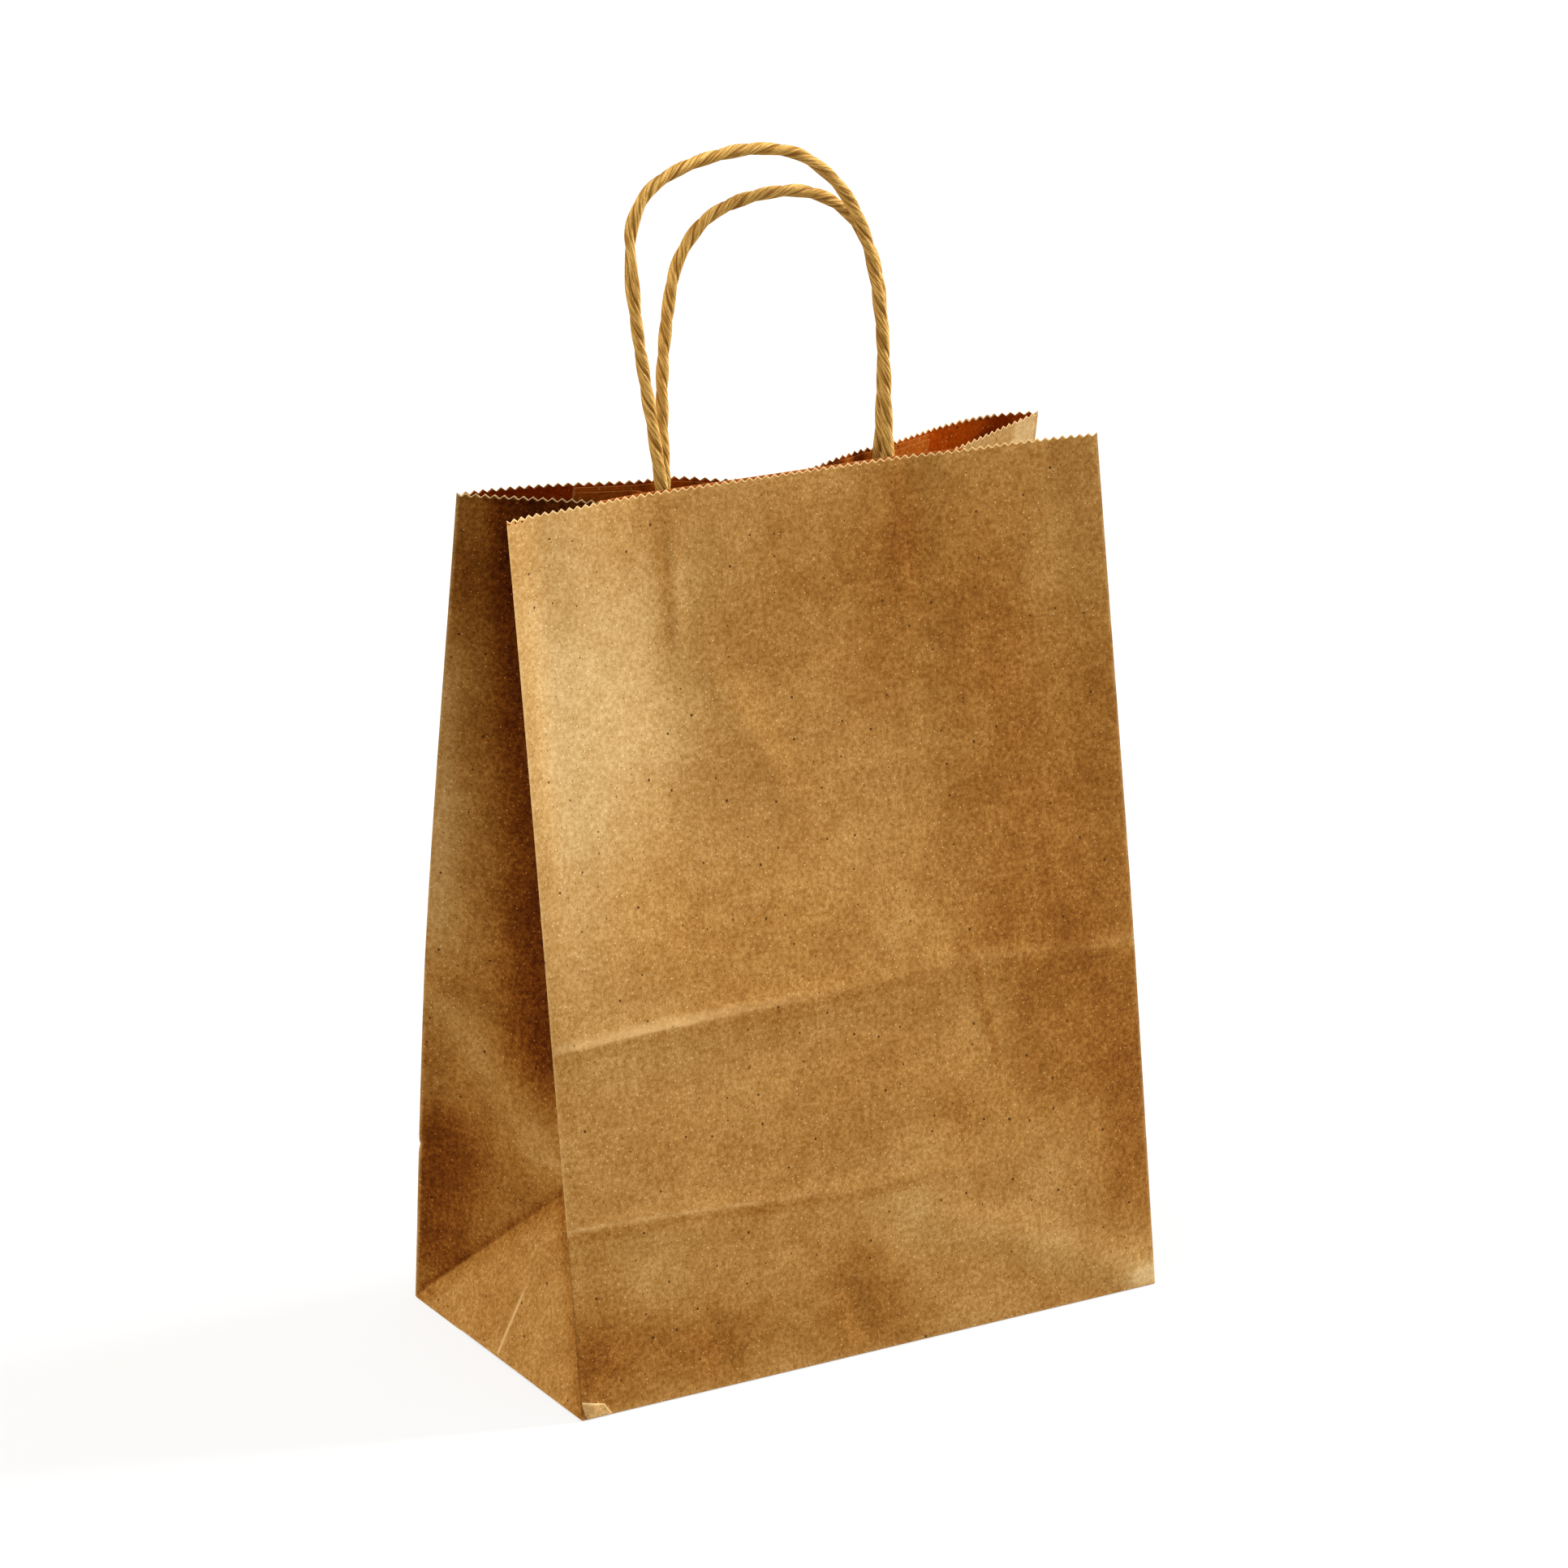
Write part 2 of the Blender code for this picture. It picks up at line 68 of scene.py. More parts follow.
def through(points, x):
    # smooth line through (x, height) points in rising order
    last = len(points) - 1
    if x <= points[0][0]:
        return points[0][1]
    if x >= points[last][0]:
        return points[last][1]
    k = max(i for i in range(last) if points[i][0] <= x)

    def slope(i):
        a, b = points[max(i - 1, 0)], points[min(i + 1, last)]
        return (b[1] - a[1]) / (b[0] - a[0])

    (x0, y0), (x1, y1) = points[k], points[k + 1]
    run = x1 - x0
    t = (x - x0) / run
    return (y0 * (1 + 2 * t) * (1 - t) ** 2 + slope(k) * run * t * (1 - t) ** 2
            + y1 * t * t * (3 - 2 * t) + slope(k + 1) * run * t * t * (t - 1))


def alongLine(x, s, start, end):
    # distance from the line, and share of the way along it
    a, b, p = Vector(start), Vector(end), Vector((x, s))
    run = b - a
    share = (p - a).dot(run) / run.dot(run)
    return (p - a - run * share).length, share


def streak(x, s, start, end, reach, fade=0.25):
    # a soft raised streak between two points of the flat sheet
    distance, share = alongLine(x, s, start, end)
    return hump(distance, reach) * ease(share / fade + 1) * ease((1 - share) / fade + 1)


def swell(x, s, size, seed):
    # slow waves of a sheet that has been handled
    return noise.noise(Vector((x / size, s / size, seed)))


def hexColour(text):
    def linear(part):
        value = int(part, 16) / 255
        return value / 12.92 if value <= 0.04045 else ((value + 0.055) / 1.055) ** 2.4
    return (linear(text[1:3]), linear(text[3:5]), linear(text[5:7]), 1.0)


def addNode(tree, kind, links=(), **settings):
    # links: (input name or index, source socket or value)
    node = tree.nodes.new(kind)
    for name, value in settings.items():
        setattr(node, name, value)
    for key, source in links:
        if isinstance(source, bpy.types.NodeSocket):
            tree.links.new(source, node.inputs[key])
        else:
            node.inputs[key].default_value = source
    return node


def newMaterial(name, roughness, specular):
    made = bpy.data.materials.new(name)
    made.use_nodes = True
    tree = made.node_tree
    shader = tree.nodes["Principled BSDF"]
    shader.inputs["Roughness"].default_value = roughness
    shader.inputs["Specular IOR Level"].default_value = specular
    shader.inputs["IOR"].default_value = 1.47
    return made, tree, shader


def mixColour(tree, amount, first, second, blend="MIX"):
    node = addNode(tree, "ShaderNodeMix", (("Factor", amount),), data_type="RGBA", blend_type=blend)
    for socket, source in ((node.inputs[6], first), (node.inputs[7], second)):
        if isinstance(source, bpy.types.NodeSocket):
            tree.links.new(source, socket)
        else:
            socket.default_value = source
    return node.outputs[2]


def ramped(tree, source, low, high):
    node = addNode(tree, "ShaderNodeMapRange", (("Value", source), ("From Min", low), ("From Max", high)),
                   interpolation_type="SMOOTHSTEP")
    return node.outputs["Result"]


def combined(tree, operation, first, second):
    return addNode(tree, "ShaderNodeMath", ((0, first), (1, second)), operation=operation).outputs[0]


kraft = {
    "body": "#B78A4B",      # unbleached brown kraft
    "pale": "#CFA76B",      # looser fibre clumps
    "deep": "#996B2C",      # denser fibre clumps
    "speck": "#3E210B",     # bits of bark
    "fleck": "#E6C893",     # single bleached fibres
    "cut": "#E9C68C",       # freshly cut or rubbed fibre, also drawn as a painted highlight along the rim and above the main fold
    "clump": 1.5,           # mm, fibre clumps of the mottle
    "cloud": 5.5,           # mm, uneven formation of the sheet
    "blotch": 19.0,         # mm, slow change of tone
    "fibre": 0.35,          # mm across a fibre, drawn coarser than the real 0.04 mm so that it shows
    "fibreRun": 3.2,        # times as long as it is wide
    "sheen": 0.08,          # the smooth side has a little, the felt side none
    "speckEvery": 2.6, "barkEvery": 8.5, "fleckEvery": 1.9,     # mm
}


def dots(tree, flat, spacing, size, share):
    # scattered round bits: spacing in mm, size as a share of it, share of the cells that have one
    cells = addNode(tree, "ShaderNodeTexVoronoi", (("Vector", flat), ("Scale", 1000 / spacing)),
                    voronoi_dimensions="2D")
    chance = addNode(tree, "ShaderNodeSeparateColor", (("Color", cells.outputs["Color"]),))
    reach = combined(tree, "MULTIPLY", chance.outputs[0], size)
    inside = combined(tree, "LESS_THAN", cells.outputs["Distance"], reach)
    return combined(tree, "MULTIPLY", inside, combined(tree, "LESS_THAN", chance.outputs[1], share))


def noiseOf(tree, vector, size, detail, rough):
    return addNode(tree, "ShaderNodeTexNoise",
                   (("Vector", vector), ("Scale", 1000 / size), ("Detail", detail), ("Roughness", rough)),
                   noise_dimensions="2D").outputs[0]


def kraftPaper(name, look):
    # uncoated machine-finished kraft: matt, mottled by fibre clumps, peppered with bark,
    # pale where cut or worn; painted shade and painted light from the mesh's tone darken and pale it
    made, tree, shader = newMaterial(name, 0.86, look["sheen"])
    flat = addNode(tree, "ShaderNodeUVMap", uv_map="flatSheet").outputs[0]
    clump = noiseOf(tree, flat, look["clump"], 6.0, 0.82)
    cloud = noiseOf(tree, flat, look["cloud"], 3.0, 0.6)
    blotch = noiseOf(tree, flat, look["blotch"], 2.0, 0.5)
    narrow = (look["fibreRun"], 1.0, 1.0)
    drawn = addNode(tree, "ShaderNodeMapping", (("Vector", flat), ("Scale", narrow))).outputs[0]
    fibre = noiseOf(tree, drawn, look["fibreRun"] * look["fibre"], 3.0, 0.7)
    tuft = ramped(tree, clump, 0.33, 0.67)
    colour = mixColour(tree, tuft, hexColour(look["deep"]), hexColour(look["pale"]))
    colour = mixColour(tree, 0.30, colour, hexColour(look["body"]))
    for source, low, high, shade in ((cloud, 0.66, 0.34, (0.88, 0.84, 0.75, 1.0)),
                                     (blotch, 0.72, 0.28, (0.88, 0.83, 0.74, 1.0)),
                                     (fibre, 0.62, 0.38, (0.87, 0.83, 0.76, 1.0))):
        shaded = mixColour(tree, 1.0, colour, shade, "MULTIPLY")
        colour = mixColour(tree, ramped(tree, source, low, high), colour, shaded)
    fleck = combined(tree, "MULTIPLY", dots(tree, flat, look["fleckEvery"], 0.13, 0.5), 0.6)
    colour = mixColour(tree, fleck, colour, hexColour(look["fleck"]))
    # painted shade and painted light, with some handling marks: the mesh's tone raises the colour to a
    # power, darker and redder above 0, paler below 0
    paintedShadeAndTone = addNode(tree, "ShaderNodeAttribute", attribute_name="paintedShadeAndTone").outputs["Fac"]
    power = combined(tree, "ADD", paintedShadeAndTone, 1.0)
    colour = addNode(tree, "ShaderNodeGamma", ((0, colour), (1, power))).outputs[0]
    fine = combined(tree, "MULTIPLY", dots(tree, flat, look["speckEvery"], 0.11, 0.7), 0.52)
    colour = mixColour(tree, fine, colour, hexColour(look["speck"]))
    bark = combined(tree, "MULTIPLY", dots(tree, flat, look["barkEvery"], 0.055, 0.6), 0.85)
    colour = mixColour(tree, bark, colour, hexColour(look["speck"]))
    # pale along folds, partly wear and partly a painted highlight; darker along a fold below 0
    foldTone = addNode(tree, "ShaderNodeAttribute", attribute_name="foldWearHighlightDark").outputs["Fac"]
    foldPale = combined(tree, "POWER", combined(tree, "MAXIMUM", foldTone, 0.0), 2.0)
    thin = combined(tree, "MULTIPLY", foldPale, 0.8)
    colour = mixColour(tree, thin, colour, hexColour(look["cut"]))
    foldDark = combined(tree, "MAXIMUM", combined(tree, "MULTIPLY", foldTone, -1.0), 0.0)
    foldDark = combined(tree, "MULTIPLY", combined(tree, "POWER", foldDark, 3.0), 0.7)
    colour = mixColour(tree, foldDark, colour, hexColour(look["speck"]))
    # a pale band along the cut edge, widened to be partly a painted highlight along the rim
    edge = addNode(tree, "ShaderNodeAttribute", attribute_name="fromCut").outputs["Fac"]
    ragged = combined(tree, "ADD", edge, combined(tree, "MULTIPLY", clump, -0.35))
    colour = mixColour(tree, ramped(tree, ragged, 0.60, 0.02), colour, hexColour(look["cut"]))
    tree.links.new(colour, shader.inputs["Base Color"])
    felt = combined(tree, "ADD", combined(tree, "MULTIPLY", clump, 0.6),
                    combined(tree, "MULTIPLY", fibre, 0.4))
    bump = addNode(tree, "ShaderNodeBump", (("Height", felt), ("Strength", 0.35), ("Distance", 0.00008)))
    tree.links.new(bump.outputs[0], shader.inputs["Normal"])
    return made


kraftSheet = kraftPaper("brown kraft paper", kraft)
# the rougher side that lies inside: a little different in colour, and drawn much redder and darker as
# painted shade of the bag's inside, as are the strips glued there
insideShadeLook = dict(kraft, sheen=0.0, body="#C26018", pale="#D47424", deep="#A84A0E")
kraftInsideShaded = kraftPaper("inside of brown kraft paper, painted shade", insideShadeLook)
stripShadeLook = dict(kraft, sheen=0.0, body="#B8601C", pale="#CA7228", deep="#A04C12")
kraftStripShaded = kraftPaper("stiff kraft strip", stripShadeLook)
# torn fibre ends look pale and dull; the sheet's cut edge is drawn paler still, partly a painted highlight
# along the rim
cutEdgeAndHighlight, _, shader = newMaterial("cut edge of kraft paper, partly painted highlight", 0.95, 0.1)
shader.inputs["Base Color"].default_value = hexColour("#F6D8A2")
# the strip's cut edge inside the bag is drawn dark as painted shade
stripEdgeShaded, _, shader = newMaterial("cut edge of kraft strip, painted shade", 0.95, 0.1)
shader.inputs["Base Color"].default_value = hexColour("#9A5A24")

cordLook = {
    "body": "#CE9C46",      # tightly twisted kraft, a little paler than the sheet
    "deep": "#7F5118",      # painted shade in the furrows of the twist
    "pale": "#F2CB7C",      # rubbed crests, partly a painted highlight
    "furrow": 0.55,         # mm between the wrinkles that the twist pulls into the paper
    "run": 7.0,             # mm, length of a wrinkle
    "grain": 0.5,           # mm, fine mottle between the wrinkles
}


def twistedPaper(name, look):
    # kraft strip twisted into plies: fine slanting wrinkles, slightly smooth; crests partly rubbed and
    # partly painted highlight, furrows and the groove between the plies painted shade
    made, tree, shader = newMaterial(name, 0.7, 0.06)
    flat = addNode(tree, "ShaderNodeUVMap", uv_map="flatSheet").outputs[0]
    narrow = (look["run"] / look["furrow"], 1.0, 1.0)
    drawn = addNode(tree, "ShaderNodeMapping", (("Vector", flat), ("Scale", narrow))).outputs[0]
    wrinkle = noiseOf(tree, drawn, look["run"], 3.0, 0.55)
    grain = noiseOf(tree, flat, look["grain"], 2.0, 0.5)
    plyGrooveShade = addNode(tree, "ShaderNodeAttribute", attribute_name="plyGrooveShade").outputs["Fac"]
    wrinkleLightShade = ramped(tree, wrinkle, 0.34, 0.66)
    colour = mixColour(tree, wrinkleLightShade, hexColour(look["deep"]), hexColour(look["pale"]))
    colour = mixColour(tree, 0.35, colour, hexColour(look["body"]))
    fine = mixColour(tree, 1.0, colour, (0.86, 0.83, 0.78, 1.0), "MULTIPLY")
    colour = mixColour(tree, ramped(tree, grain, 0.60, 0.40), colour, fine)
    # painted shade in the groove between the plies
    colour = mixColour(tree, combined(tree, "MULTIPLY", plyGrooveShade, 0.85), colour, hexColour(look["deep"]))
    tree.links.new(colour, shader.inputs["Base Color"])
    bump = addNode(tree, "ShaderNodeBump", (("Height", wrinkle), ("Strength", 0.9), ("Distance", 0.0004)))
    tree.links.new(bump.outputs[0], shader.inputs["Normal"])
    return made


cordPaper = twistedPaper("twisted kraft paper cord", cordLook)
print("materials made")


bag = {
    "width": 203.0, "depth": 108.0, "height": 267.0,    # mm, along the sheet
    "paper": 0.18,          # mm
    "footZ": 0.505,         # mm, middle of the lowest layer inside
    "frontCorner": 14.5, "backCorner": 18.5,            # mm from the middle plane at the rim
    "frontBow": 1.0, "backBow": 4.0, "backDrawIn": 1.5,
    "frontHollow": 3.0,     # mm, how far the left of the front wall is drawn in at half height
    "mainRidge": 0.62, "lowerRidge": 0.40,
    "toothDepth": 1.1,
    "wallColumns": 144, "gussetColumns": 76,            # even, so that the teeth close round the tube
}
halfWidth = bag["width"] / 2
halfDepth = bag["depth"] / 2
footRows = bag["gussetColumns"] // 2    # square cells, so that a slanting fold runs along their diagonals

# the rim seen from above: across, towards the back
frontRim = ((-101.5, -15.3), (-92.0, -12.5), (-80.0, -11.2), (-59.0, -8.2), (-47.5, -7.4), (-20.0, -7.4),
            (35.3, -7.4), (50.0, -9.0), (83.0, -10.4), (101.5, -13.2))
backRim = ((-101.5, 18.5), (-89.6, 17.9), (-71.8, 13.9), (-57.2, 8.1), (-47.5, 4.92), (-38.2, 4.05),
           (-17.8, -4.25), (1.3, -4.25), (17.6, -0.5), (29.9, 4.05), (36.1, 4.92), (50.5, 10.55),
           (65.5, 16.8), (80.0, 20.1), (91.0, 20.4), (101.5, 17.0))

# folds that were pressed in while the bag lay flat: across, up the sheet; and the row on each
mainRow, lowerRow, pointRow = 110.7, 57.4, 61.2
mainCrease = ((-101.5, 110.7), (-69.0, 112.0), (-13.0, 112.5), (38.0, 114.0), (67.0, 111.7), (101.5, 108.2))
lowerCrease = ((-101.5, 57.4), (-74.0, 56.6), (-1.0, 52.3), (39.0, 52.0))
# how much of the front wall's hollow there is, across
hollowShare = ((-101.5, 0.0), (-97.0, 0.1), (-55.0, 1.0), (-45.0, 1.0), (40.0, 0.42), (101.5, 0.0))


def stripImprint(s):
    # where the edge of a glued strip of the next bag in the pile pressed the front wall
    return through(((57.0, 51.0), (97.0, 43.0), (119.0, 40.0)), s)


def frontMarks(x, s):
    # how far the handled front wall stands out, in mm
    strong = 1 - 0.6 * ease((x + 20) / 60)
    out = strong * (bag["mainRidge"] * fold(s - through(mainCrease, x), 5.5, 15.0)
                    + 0.12 * fold(s - through(mainCrease, x), 1.8, 3.0))
    fading = 1 - ease((x - 30) / 20)
    out += (0.25 + 0.75 * fading) * bag["lowerRidge"] * fold(s - through(lowerCrease, x), 3.0, 12.0)
    out += 0.16 * hump(x - stripImprint(s) - 2.2, 3.4) * window(s, 60, 116, 10)
    out += 0.22 * streak(x, s, (47.0, 73.0), (46.0, 54.0), 5.0)
    out -= 0.22 * streak(x, s, (33.5, 72.0), (36.0, 65.0), 6.0)
    out += 0.06 * hump(x + 53.0, 2.8) * window(s, 62, 112, 8)
    out += 0.45 * streak(x, s, (-35.0, 213.0), (-14.0, 174.0), 9.0)
    out -= 0.45 * streak(x, s, (-55.0, 20.0), (-52.0, 6.0), 10.0)
    out -= 0.55 * streak(x, s, (-9.7, 21.0), (-4.0, 6.0), 8.0)
    out += 0.45 * streak(x, s, (24.0, 38.0), (90.0, 8.0), 11.0)
    out += 0.26 * hump(x + 44.4, 3.8) * window(s, 222, 262, 8)
    out += 0.18 * hump(x - 33.0, 3.8) * window(s, 222, 262, 8)
    out += 0.25 * ease((x - 70.0) / 4) * window(s, 226, 240, 12) * ease((96.0 - x) / 20)
    out -= bag["frontHollow"] * through(hollowShare, x) * window(s, 165, 205, 58)
    belly = math.sin(math.pi * min(s / 100.0, 1.0)) * math.cos(math.pi * x / bag["width"])
    out += 1.6 * belly
    out += 0.40 * swell(x, s, 46.0, 3.1) + 0.15 * swell(x, s, 21.0, 8.4)
    return out


def backMarks(x, s):
    # how far the back wall stands out, in mm
    crease = 110.5 + 1.2 * math.sin(x / 40)
    out = bag["mainRidge"] * fold(s - crease, 5.5, 15.0) + 0.12 * fold(s - crease, 1.8, 3.0)
    out += bag["lowerRidge"] * fold(s - 55.5 - x / 60, 3.0, 12.0)
    out += 0.30 * hump(x + 40.9, 3.4) * window(s, 222, 262, 6)
    out += 0.30 * hump(x - 33.4, 3.4) * window(s, 222, 262, 6)
    out += 0.45 * streak(x, s, (20.0, 190.0), (52.0, 150.0), 9.0)
    out -= 0.60 * streak(x, s, (38.0, 20.0), (34.0, 6.0), 7.0)
    out += 0.50 * streak(x, s, (-70.0, 38.0), (-88.0, 10.0), 9.0)
    out += 1.6 * math.sin(math.pi * min(s / 100.0, 1.0)) * math.cos(math.pi * x / bag["width"])
    out += 0.60 * swell(x, s, 46.0, 13.7) + 0.22 * swell(x, s, 21.0, 18.2)
    return out


def wallPoint(side, x, s):
    # middle of a wall's paper: side -1 front, 1 back
    corner = bag["frontCorner"] if side < 0 else bag["backCorner"]
    bow = bag["frontBow"] if side < 0 else bag["backBow"]
    rim = frontRim if side < 0 else backRim
    share = s / bag["height"]
    drawn = ease(max((s - bag["depth"]) / (bag["height"] - bag["depth"]), 0.0) ** 0.75)
    calm = ease((halfWidth - abs(x)) / 9.0)
    y = side * (halfDepth + (corner - halfDepth) * share + bow * math.sin(math.pi * share))
    y += (through(rim, x) - side * corner) * drawn
    marks = frontMarks(x, s) if side < 0 else backMarks(x, s)
    foot = ease(s / 3.0)
    near = ease((bag["height"] - s) / 12.0)
    y += side * marks * calm * foot * (0.3 + 0.7 * near)
    lean = (halfDepth - corner) / bag["height"]
    z = bag["footZ"] + s * math.sqrt(1 - lean * lean)
    if side < 0:
        nick = 0.45 * hump(x + 15.7, 2.2) + 0.5 * hump(x + 3.0, 2.2)
        return Vector((x, y, z + nick * ease(1 - s / 2.5)))
    if x < 0:
        x += 0.5 * hump(s - 52.5, 2.2) * ease(1 - (x + halfWidth) / 2.0)
    sag = 1.4 * window(x, -18, 2, 20) * ease((s - 190) / 77)     # the pinched stretch sits lower
    return Vector((x * (1.0 - drawn * bag["backDrawIn"] / halfWidth), y, z - sag))


def wallInwards(side, x, s, distance):
    # a point square to the wall, inside the bag
    across = wallPoint(side, x + 2.0, s) - wallPoint(side, x - 2.0, s)
    up = wallPoint(side, x, s + 2.0) - wallPoint(side, x, s - 2.0)
    normal = across.cross(up).normalized()
    if normal.y * side > 0:
        normal = -normal
    return wallPoint(side, x, s) + normal * distance


def outwards(side, x, s, distance):
    return wallInwards(side, x, s, -distance)


apexFront = wallPoint(-1, halfWidth, halfDepth)
apexBack = wallPoint(1, halfWidth, halfDepth)
apexHeight = (apexFront.z + apexBack.z) / 2 - bag["footZ"]
apexCos = (apexHeight ** 2 + ((apexBack.y - apexFront.y) / 2) ** 2) / (2 * apexHeight * halfDepth)
apexSin = math.sqrt(1 - apexCos ** 2)


def creasePoint(end, s):
    # the gusset's middle fold, from the apex of the foot's triangle up; the paper doesn't stretch
    front = wallPoint(-1, end * halfWidth, s)
    back = wallPoint(1, end * halfWidth, s)
    halfOpen = (back.y - front.y) / 2
    drop = apexHeight - halfDepth * apexCos
    inset = math.sqrt(max(halfDepth ** 2 - halfOpen ** 2 - drop ** 2, 0.0))
    middle = (front.y + back.y) / 2 - (apexFront.y + apexBack.y) / 2
    return Vector(((front.x + back.x) / 2 - end * inset, middle, (front.z + back.z) / 2 - drop))


def trianglePoint(end, w, s):
    return Vector((end * (halfWidth - s * apexSin), w - halfDepth, bag["footZ"] + s * apexCos))


def gussetMarks(end, w, s):
    # how far the gusset stands out along x, in mm: the flat bag's diagonal folds, and the hollow
    # paper between them
    run = min(w, bag["depth"] - w)
    out = 0.0
    if s > run:
        fromDiagonal = (run - (bag["depth"] - s)) / math.sqrt(2)
        between = window(s, 60, 104, 8)
        out += 0.55 * ridge(fromDiagonal, 7.0) * between
        hollow = max(0.0, min(1.0, (s - run) / 40, (bag["depth"] - s - run + 4) / 40))
        out -= 1.7 * ease(hollow) * (1.0 if w > halfDepth else 0.6)
        out += 0.35 * ridge(s - bag["depth"], 6.0)
    out += 0.35 * swell(w + 200 * end, s, 30.0, 5.5)
    return out * ease(run / 8.0) * (0.3 + 0.7 * ease((s - run) / 14.0)) * ease(s / 6.0)


def gussetPoint(end, w, s):
    # middle of a gusset's paper: w along it from the front corner
    side = -1 if w < halfDepth else 1
    run = min(w, bag["depth"] - w)
    away = Vector((end * gussetMarks(end, w, s), 0.0, 0.0))
    if s <= run:
        return trianglePoint(end, w, s) + away
    edge = wallPoint(side, end * halfWidth, s)
    if s >= halfDepth:
        if run > halfDepth - 1e-6:
            away *= 0.4
        return edge.lerp(creasePoint(end, s), run / halfDepth) + away
    inner = trianglePoint(end, s if side < 0 else bag["depth"] - s, s)
    return edge.lerp(inner, run / s) + away


def spacedRows():
    # square cells in the foot, fine rows at the creases and the rim, wider ones between
    rows = [halfDepth * k / footRows for k in range(footRows + 1)]
    rows += [55.8, lowerRow, 59.2, pointRow, 63.4, 67.0, 71.0, 75.5, 80.0, 84.5, 89.0, 93.5, 97.5]
    rows += [101.0, 104.0, 106.2, 108.0, 109.4, mainRow, 112.0, 113.3, 114.6, 116.4, 119.0, 122.5, 126.5]
    rows += [126.5 + 4.6 * k for k in range(1, 27)]
    return rows + [250.0, 253.6, 256.8, 259.6, 262.0, 264.0, 265.4, 267.0]


def rowShift(around, row):
    # rows of the front wall bend to lie along its two pressed folds
    x = around - halfWidth
    if x > halfWidth:
        return 0.0
    main = (through(mainCrease, x) - mainRow) * hump(row - mainRow, 24) * (1 - ease((x - 78) / 22))
    lower = (through(lowerCrease, x) - lowerRow) * hump(row - lowerRow, 20) * (1 - ease((x - 39) / 40))
    return main + lower


def sheetColumns():
    # round the tube: front, right gusset, back, left gusset, as (distance, point as a function of s)
    wall, gusset = bag["wallColumns"], bag["gussetColumns"]
    columns = []
    for k in range(wall):
        x = bag["width"] * k / wall - halfWidth
        columns.append((halfWidth + x, lambda s, x=x: wallPoint(-1, x, s)))
    for k in range(gusset):
        w = bag["depth"] * k / gusset
        columns.append((bag["width"] + w, lambda s, w=w: gussetPoint(1, w, s)))
    for k in range(wall):
        x = halfWidth - bag["width"] * k / wall
        columns.append((bag["width"] + bag["depth"] + halfWidth - x, lambda s, x=x: wallPoint(1, x, s)))
    for k in range(gusset + 1):
        w = bag["depth"] * (1 - k / gusset)
        columns.append((2 * (bag["width"] + bag["depth"]) - w, lambda s, w=w: gussetPoint(-1, w, s)))
    return columns


def gridOf(bm, across, up):
    # a flat grid, and its vertices by row and column
    bmesh.ops.create_grid(bm, x_segments=across, y_segments=up, size=1.0)
    grid = [[None] * (across + 1) for _ in range(up + 1)]
    for vert in bm.verts:
        grid[round((vert.co.y + 1) / 2 * up)][round((vert.co.x + 1) / 2 * across)] = vert
    return grid


def finishPiece(name, bm, materials, thickness=0.0, sharp=30):
    # metres, thickness, smooth faces with sharp folds; the object stays at the origin
    bmesh.ops.scale(bm, vec=(millimetre,) * 3, verts=bm.verts)
    mesh = bpy.data.meshes.new(name)
    bm.to_mesh(mesh)
    bm.free()
    for material in materials:
        mesh.materials.append(material)
    piece = bpy.data.objects.new(name, mesh)
    bpy.context.scene.collection.objects.link(piece)
    if thickness:
        solid = piece.modifiers.new("paper", "SOLIDIFY")
        solid.thickness = thickness * millimetre
        solid.offset = 0.0
        solid.material_offset_rim = 1
        solid.material_offset = 2 if len(materials) > 2 else 0
        graph = bpy.context.evaluated_depsgraph_get()
        piece.data = bpy.data.meshes.new_from_object(piece.evaluated_get(graph))
        piece.modifiers.clear()
        piece.data.name = name
    piece.data.shade_smooth()
    piece.data.set_sharp_from_angle(angle=math.radians(sharp))
    return piece


def setFlat(bm, place):
    # UV of the flat sheet in metres, from each vertex's place on it in mm
    layer = bm.loops.layers.uv.new("flatSheet")
    for face in bm.faces:
        for loop in face.loops:
            across, up = place[loop.vert]
            loop[layer].uv = (across * millimetre, up * millimetre)


